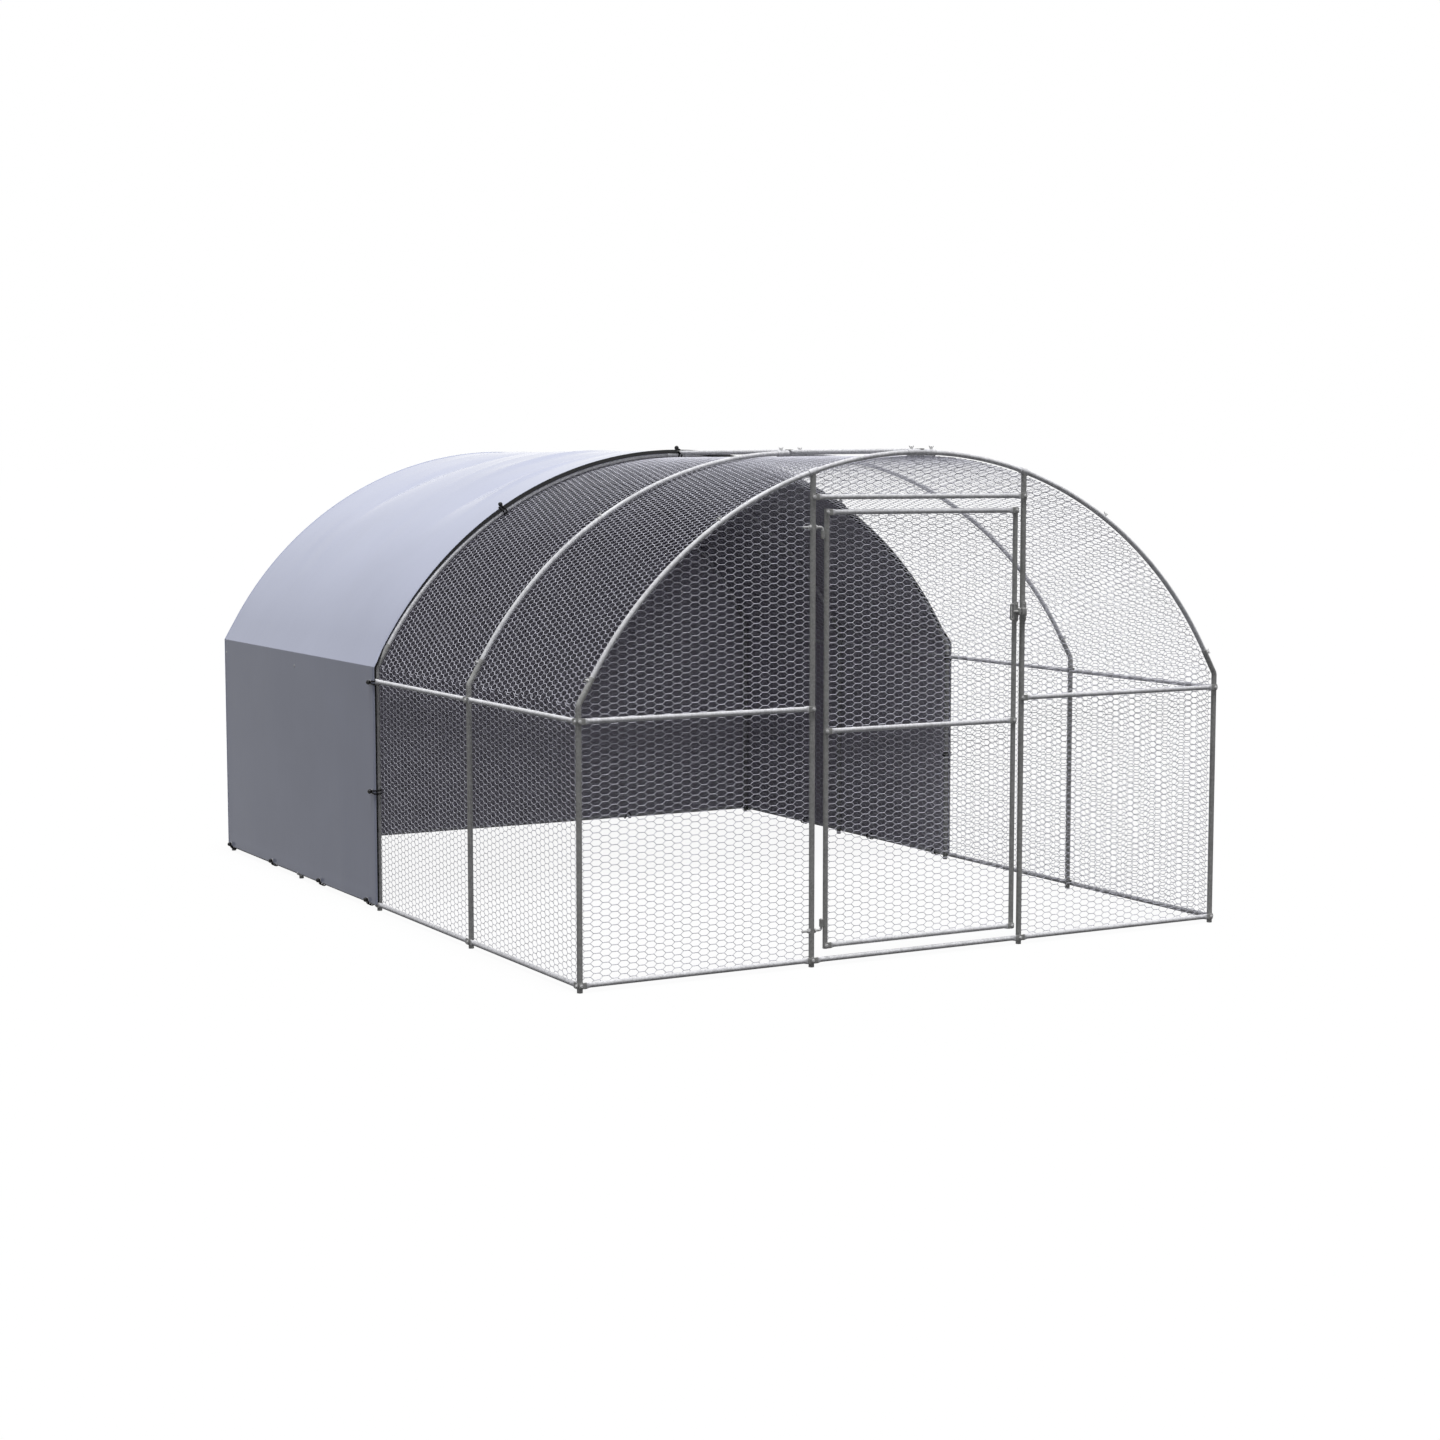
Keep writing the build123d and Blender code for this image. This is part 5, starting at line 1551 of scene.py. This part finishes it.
class COOP_OT_cover_rear(bpy.types.Operator):
    """Builds the rear wall of the cover and the welt along its edge"""

    bl_idname = "coop.cover_rear"
    bl_label = "Rear wall of the cover"

    def execute(self, context):
        sizes = context.scene.coop_cover
        half = HALF_SPAN + COVER_OFFSET
        high = APEX_Z + COVER_OFFSET
        columns = np.linspace(-half, half, math.ceil(2 * half / sizes.grid) + 1)
        shares = np.linspace(0.0, 1.0, math.ceil(REAR_MESH_HEIGHT / sizes.grid) + 1)
        top = np.minimum(run_height(columns, COVER_OFFSET), high)
        x = np.broadcast_to(columns[:, None], (len(columns), len(shares)))
        z = COVER_LOW_Z + shares[None, :] * (top[:, None] - COVER_LOW_Z)
        maker = np.random.default_rng(REAR_SEED)
        ripple = np.zeros_like(x)
        for _ in range(REAR_FOLD_COUNT):
            middle_x, middle_z, angle, length, width = drawn(maker, REAR_FOLD_SPANS)
            ripple = ripple + REAR_RIPPLE * soft_fold(x, z, (middle_x, middle_z), angle, length, width)
        y = COVER_REAR_Y - REAR_SEAT + ripple
        outer = np.stack([x, y, z], axis=-1)
        inner = np.stack([x, y - sizes.thickness, z], axis=-1)
        measure = np.stack([x, z], axis=-1)
        piece = sheet_piece("rear_wall_sheet", outer, inner, measure, "cover_rear_wall", context)
        welt = self.welt(context)
        return {"FINISHED"}

    def welt(self, context):
        """Piped seam along the edge where the roof and the sides meet the rear wall."""
        rings = []
        for along in line_places(foot_reach(0.0, COVER_LOW_Z), kink_reach(0.0), WELT_PLACES):
            middle, out = on_arch(facing(along, COVER_OFFSET), COVER_REAR_Y - REAR_SEAT, COVER_OFFSET)
            rings.append(placed(circle(WELT_RADIUS, CORD_SIDES), middle, BACK, out))
        finish = finish_of("seam", context)
        return loft_piece("cover_rear_welt", rings, finish, "frame", (), "tarpaulin", CORD_SHARP)


# Bungees and fasteners


def elastic_loop(form, seat, out, tube, along, line, spread, radius):
    """Elastic cord from under a ball over the cover's edge, round a tube and back, as two legs that part."""
    fore = np.cross(along, out)
    fore = fore * np.sign((tube - seat) @ fore)
    line = np.array(line)
    apart = np.sin(math.pi * np.linspace(0, 1, len(line))) ** LEG_ROUNDNESS
    parting = LEG_PARTING + spread * apart
    for side in (-1, 1):
        path = tube + line[:, :1] * fore + line[:, 1:] * out + side * parting[:, None] * along
        form.loft(tube_rings(path, radius, unit(along), CORD_SIDES))


def add_ball(form, seat, out, diameter):
    """Ball on its flat foot, with a seam round its middle and a moulded hole at its top."""
    radius = diameter / 2
    profile = [(BALL_FOOT * radius, 0.0)]
    for share in np.linspace(*BALL_ARC, BALL_STEPS):
        turn = share * math.pi
        seam = BALL_SEAM if abs(share - 0.5) < BALL_SEAM_SHARE else 0.0
        profile.append((radius * math.sin(turn) + seam, radius * (1 - math.cos(turn))))
    profile += [(size * radius, height * radius) for size, height in BALL_HOLE]
    form.lathe(profile, seat, out, ROUND_SIDES)


class COOP_OT_bungees(bpy.types.Operator):
    """Builds the ball bungees along the hem and the front edge of the cover, with their eyelets"""

    bl_idname = "coop.bungees"
    bl_label = "Ball bungees"

    def execute(self, context):
        sizes = context.scene.coop_cover
        plastic, elastic = finish_of("plastic", context), finish_of("elastic", context)
        eyelets = Form()
        for number, (seat, out, tube, along, line, spread) in enumerate(self.places(), start=1):
            ball = Form()
            add_ball(ball, seat + out * BALL_STEP, out, sizes.ball)
            name = f"bungee_ball_{number}"
            make_piece(name, ball, plastic, "frame", ["bungee_balls"], "black_plastic", BALL_SHARP)
            cord = Form()
            elastic_loop(cord, seat, out, tube, along, line, spread, sizes.elastic / 2)
            name = f"bungee_elastic_{number}"
            make_piece(name, cord, elastic, "frame", (), "black_plastic", CORD_SHARP)
            eyelets.lathe(EYELET_PROFILE, seat + out * EYELET_STEP, out, EYELET_SIDES, closed=True)
        make_piece("cover_eyelets", eyelets, finish_of("fitting", context), "frame", (), "zinc_fittings")
        return {"FINISHED"}

    def places(self):
        """Seat, outward direction, tube, direction along the tube, and line and spread of the elastic."""
        hem_z = COVER_LOW_Z + BUNGEE_HEM_INSET
        edge_y = COVER_FRONT_Y + BUNGEE_EDGE_INSET
        face = COVER_OFFSET + EYELET_STEP
        rail = POST_RADIUS + TAB_THICKNESS - RAIL_RADIUS
        for side in (-1, 1):
            out = side * RIGHT
            seat_x = side * (HALF_SPAN + face)
            for z in POST_BUNGEE_HEIGHTS:
                tube = np.array((side * HALF_SPAN, COVER_ARCH_Y, z))
                yield np.array((seat_x, edge_y, z)), out, tube, UP, POST_LOOP, POST_LOOP_SPREAD
            for share in SIDE_BUNGEE_SHARES:
                y = COVER_FRONT_Y + share * (COVER_REAR_Y - COVER_FRONT_Y)
                tube = np.array((side * (HALF_SPAN + rail), y, BOTTOM_RAIL_Z))
                yield np.array((seat_x, y, hem_z)), out, tube, BACK, RAIL_LOOP, RAIL_LOOP_SPREAD
        for x in ARCH_BUNGEE_PLACES:
            along = (ARCH_RADIUS + face) * math.asin(x / (ARCH_RADIUS + face))
            seat, out = on_arch(along, edge_y, face)
            tube, _ = on_arch(along, COVER_ARCH_Y, 0.0)
            yield seat, out, tube, np.cross(BACK, out), ARCH_LOOP, POST_LOOP_SPREAD
        for x in REAR_BUNGEE_PLACES:
            tube = np.array((x, REAR_Y + rail, BOTTOM_RAIL_Z))
            yield np.array((x, COVER_REAR_Y, hem_z)), BACK, tube, RIGHT, RAIL_LOOP, RAIL_LOOP_SPREAD


def tab_bolt(form, seat, out):
    """Washer and hexagonal bolt head on a rail's tab."""
    form.lathe(TAB_WASHER, seat, out, TAB_WASHER_SIDES)
    hex_nut(form, seat + out * TAB_WASHER[-1][1], out, TAB_HEAD_WIDTH, TAB_HEAD_HEIGHT)


def wing_nut(form, seat, out, across):
    """Wing nut on a bolt's end, with its wings along across."""
    form.lathe(WING_HUB, seat, out, WING_HUB_SIDES)
    bolt = seat + out * WING_BOLT_SEAT
    threaded_rod(form, bolt, out, WING_BOLT_RADIUS, WING_BOLT_PROUD, WING_BOLT_PITCH)
    for side in (-1, 1):
        thick = side * np.cross(across, out)
        base = seat - thick * WING_THICKNESS / 2
        form.plate(WING_OUTLINE[::side], base, side * across, out, WING_THICKNESS, WING_BEVEL)


class COOP_OT_fasteners(bpy.types.Operator):
    """Builds the bolts through the rails' tabs and the wing nuts on the arches"""

    bl_idname = "coop.fasteners"
    bl_label = "Bolts and wing nuts"

    def execute(self, context):
        finish = finish_of("fitting", context)
        for name, body, seats in (*self.side_bolts(), *self.end_bolts(context)):
            form = Form()
            for seat, out in seats:
                tab_bolt(form, np.array(seat), out)
            make_piece(name, form, finish, body, (), "zinc_fittings", NUT_SHARP)
        for number, y in enumerate(ARCH_Y[:2], start=1):
            form = Form()
            for along, offset in self.arch_nuts(context):
                seat, out = on_arch(along, y, offset)
                wing_nut(form, seat, out, np.cross(BACK, out))
            name = f"wing_nuts_arch_{number}"
            make_piece(name, form, finish, "frame", (), "zinc_fittings", PLATE_SHARP)
        return {"FINISHED"}

    def side_bolts(self):
        """Bolts where the side rails lap on their posts, one piece for each side."""
        for side, name in SIDES:
            seats = []
            for _, z in RAIL_LEVELS:
                for number, y in enumerate(ARCH_Y):
                    layers = 1 if number == 0 else 2
                    x = HALF_SPAN + POST_RADIUS + layers * TAB_THICKNESS
                    seats.append(((side * x, y, z), side * RIGHT))
            yield f"rail_bolts_{name}", "frame", seats

    def end_bolts(self, context):
        """Bolts of the front and rear rails and of the door's rails."""
        face = FRONT_Y - POST_RADIUS - TAB_THICKNESS
        seats = []
        for _, z in RAIL_LEVELS:
            seats += [((side * HALF_SPAN, face, z), -BACK) for side in (-1, 1)]
        for side in (-1, 1):
            x = side * DOOR_POST_X
            seats.append(((x, face, MIDDLE_RAIL_Z), -BACK))
            seats.append(((x, face, HEADER_Z), -BACK))
            seats.append(((x, face - TAB_THICKNESS, BOTTOM_RAIL_Z), -BACK))
        yield "rail_bolts_front", "frame", seats
        face = REAR_Y + POST_RADIUS + TAB_THICKNESS
        seats = [((side * HALF_SPAN, face, BOTTOM_RAIL_Z), BACK) for side in (-1, 1)]
        yield "rail_bolts_rear", "frame", seats
        face = FRONT_Y - context.scene.coop_tubes.rail_diameter / 2 - TAB_THICKNESS
        seats = []
        for node in DOOR_RAILS:
            z = middle_of(node).z
            seats += [((x, face, z), -BACK) for x in (LEFT_STILE_X, RIGHT_STILE_X)]
        yield "rail_bolts_door", "door", seats

    def arch_nuts(self, context):
        """Places along an open arch and offsets of its wing nuts."""
        sizes = context.scene.coop_tubes
        spots = (
            (SLEEVE_BOLT_PLACE, sizes.sleeve_diameter / 2),
            (ARCH_JOINT - JOINT_BOLT_BACK, sizes.arch_diameter / 2),
            (ARC_END + ELBOW_BOLT_PAST, POST_RADIUS),
        )
        return [(side * along, offset) for along, offset in spots for side in (-1, 1)]


# Stage


class COOP_OT_stage(bpy.types.Operator):
    """Builds the studio floor, the light and the camera"""

    bl_idname = "coop.stage"
    bl_label = "Stage"

    def execute(self, context):
        sizes = context.scene.coop_stage
        self.floor(context, sizes)
        self.light(context, sizes)
        self.camera(context, sizes)
        context.scene.view_settings.view_transform = "Standard"
        return {"FINISHED"}

    def seen_white(self, nodes):
        """1 for what the camera sees, also in metal and through glass, and 0 for light on the object."""
        path = nodes.add("ShaderNodeLightPath").outputs
        seen = nodes.calc("MAXIMUM", path["Is Camera Ray"], path["Is Glossy Ray"])
        return nodes.calc("MAXIMUM", seen, path["Is Transmission Ray"])

    def floor(self, context, sizes):
        """Wide round floor that keeps the object's shadow and looks white to the camera."""
        form = Form()
        disc = circle(FLOOR_RADIUS, FLOOR_SIDES)
        form.loft([placed(disc, UP * z, RIGHT, BACK) for z in (-FLOOR_DEPTH, 0.0)])
        mesh = bpy.data.meshes.new("floor")
        mesh.from_pydata(np.concatenate(form.points), [], form.faces)
        material = bpy.data.materials.new("Studio floor")
        material.use_nodes = True
        nodes = Nodes(material.node_tree)
        surface = material.node_tree.nodes["Principled BSDF"].inputs
        surface["Base Color"].default_value = (*context.scene.coop_colours.floor, 1.0)
        surface["Roughness"].default_value = FLOOR_ROUGHNESS
        surface["Specular IOR Level"].default_value = 0.0
        surface["Emission Color"].default_value = WHITE
        glow = nodes.calc("MULTIPLY", self.seen_white(nodes), sizes.glow)
        material.node_tree.links.new(glow, surface["Emission Strength"])
        mesh.materials.append(material)
        floor = bpy.data.objects.new("floor", mesh)
        context.collection.objects.link(floor)
        floor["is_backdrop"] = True

    def light(self, context, sizes):
        """One broad soft light from above, and an even light from all sides."""
        lamp = bpy.data.lights.new("key", "SUN")
        lamp.energy = sizes.key
        lamp.angle = sizes.key_width
        key = bpy.data.objects.new("key", lamp)
        key.rotation_euler = (sizes.key_front, -sizes.key_left, 0.0)
        context.collection.objects.link(key)
        world = bpy.data.worlds.new("Studio")
        world.use_nodes = True
        context.scene.world = world
        nodes = Nodes(world.node_tree)
        world.node_tree.nodes.clear()
        fill = nodes.add("ShaderNodeBackground", {"Color": SKY_COLOUR, "Strength": sizes.fill})
        white = nodes.add("ShaderNodeBackground", {"Color": WHITE, "Strength": 1.0})
        inputs = {0: self.seen_white(nodes), 1: fill.outputs[0], 2: white.outputs[0]}
        mix = nodes.add("ShaderNodeMixShader", inputs)
        nodes.add("ShaderNodeOutputWorld", {"Surface": mix.outputs[0]})

    def camera(self, context, sizes):
        """Camera at the photograph's place, looking right of straight back and a little down."""
        lens = bpy.data.cameras.new("camera")
        lens.sensor_width = SENSOR_WIDTH
        lens.lens = sizes.lens
        camera = bpy.data.objects.new("camera", lens)
        flat = math.cos(sizes.pitch)
        ahead = np.array((math.sin(sizes.yaw) * flat, math.cos(sizes.yaw) * flat, -math.sin(sizes.pitch)))
        right = np.array((math.cos(sizes.yaw), -math.sin(sizes.yaw), 0.0))
        turn = Matrix((right, np.cross(right, ahead), -ahead)).transposed()
        camera.matrix_world = Matrix.Translation(sizes.place) @ turn.to_4x4()
        context.collection.objects.link(camera)
        context.scene.camera = camera


# Add-on


SETTINGS = {
    "coop_tubes": TubeSizes,
    "coop_net": NetSizes,
    "coop_cover": CoverSizes,
    "coop_colours": FinishColours,
    "coop_stage": StageSizes,
}

STEPS = (
    COOP_OT_stage,
    COOP_OT_posts,
    COOP_OT_arches,
    COOP_OT_sleeves,
    COOP_OT_side_rails,
    COOP_OT_end_rails,
    COOP_OT_door_posts,
    COOP_OT_door_frame,
    COOP_OT_hinges,
    COOP_OT_latch,
    COOP_OT_end_nets,
    COOP_OT_side_nets,
    COOP_OT_roof_net,
    COOP_OT_cover,
    COOP_OT_cover_rear,
    COOP_OT_bungees,
    COOP_OT_fasteners,
)


class COOP_PT_panel(bpy.types.Panel):
    """Lists the steps in the order in which they are run"""

    bl_idname = "COOP_PT_panel"
    bl_label = "Poultry run"
    bl_space_type = "VIEW_3D"
    bl_region_type = "UI"
    bl_category = "Poultry run"

    def draw(self, context):
        for step in STEPS:
            self.layout.operator(step.bl_idname)
        for name in SETTINGS:
            settings = getattr(context.scene, name)
            box = self.layout.box()
            for field in settings.bl_rna.properties:
                if not field.is_readonly and field.identifier != "name":
                    box.prop(settings, field.identifier)


CLASSES = (*SETTINGS.values(), *STEPS, COOP_PT_panel)


def register():
    for entry in CLASSES:
        bpy.utils.register_class(entry)
    for name, settings in SETTINGS.items():
        setattr(bpy.types.Scene, name, PointerProperty(type=settings))


def unregister():
    for name in SETTINGS:
        delattr(bpy.types.Scene, name)
    for entry in reversed(CLASSES):
        bpy.utils.unregister_class(entry)


def main():
    register()
    for step in STEPS:
        group, name = step.bl_idname.split(".")
        getattr(getattr(bpy.ops, group), name)()
    boxes = {"cad": CAD_BOX, "visual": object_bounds()}
    {name: [list(corner) for corner in box] for name, box in boxes.items()}


if __name__ == "__main__":
    main()
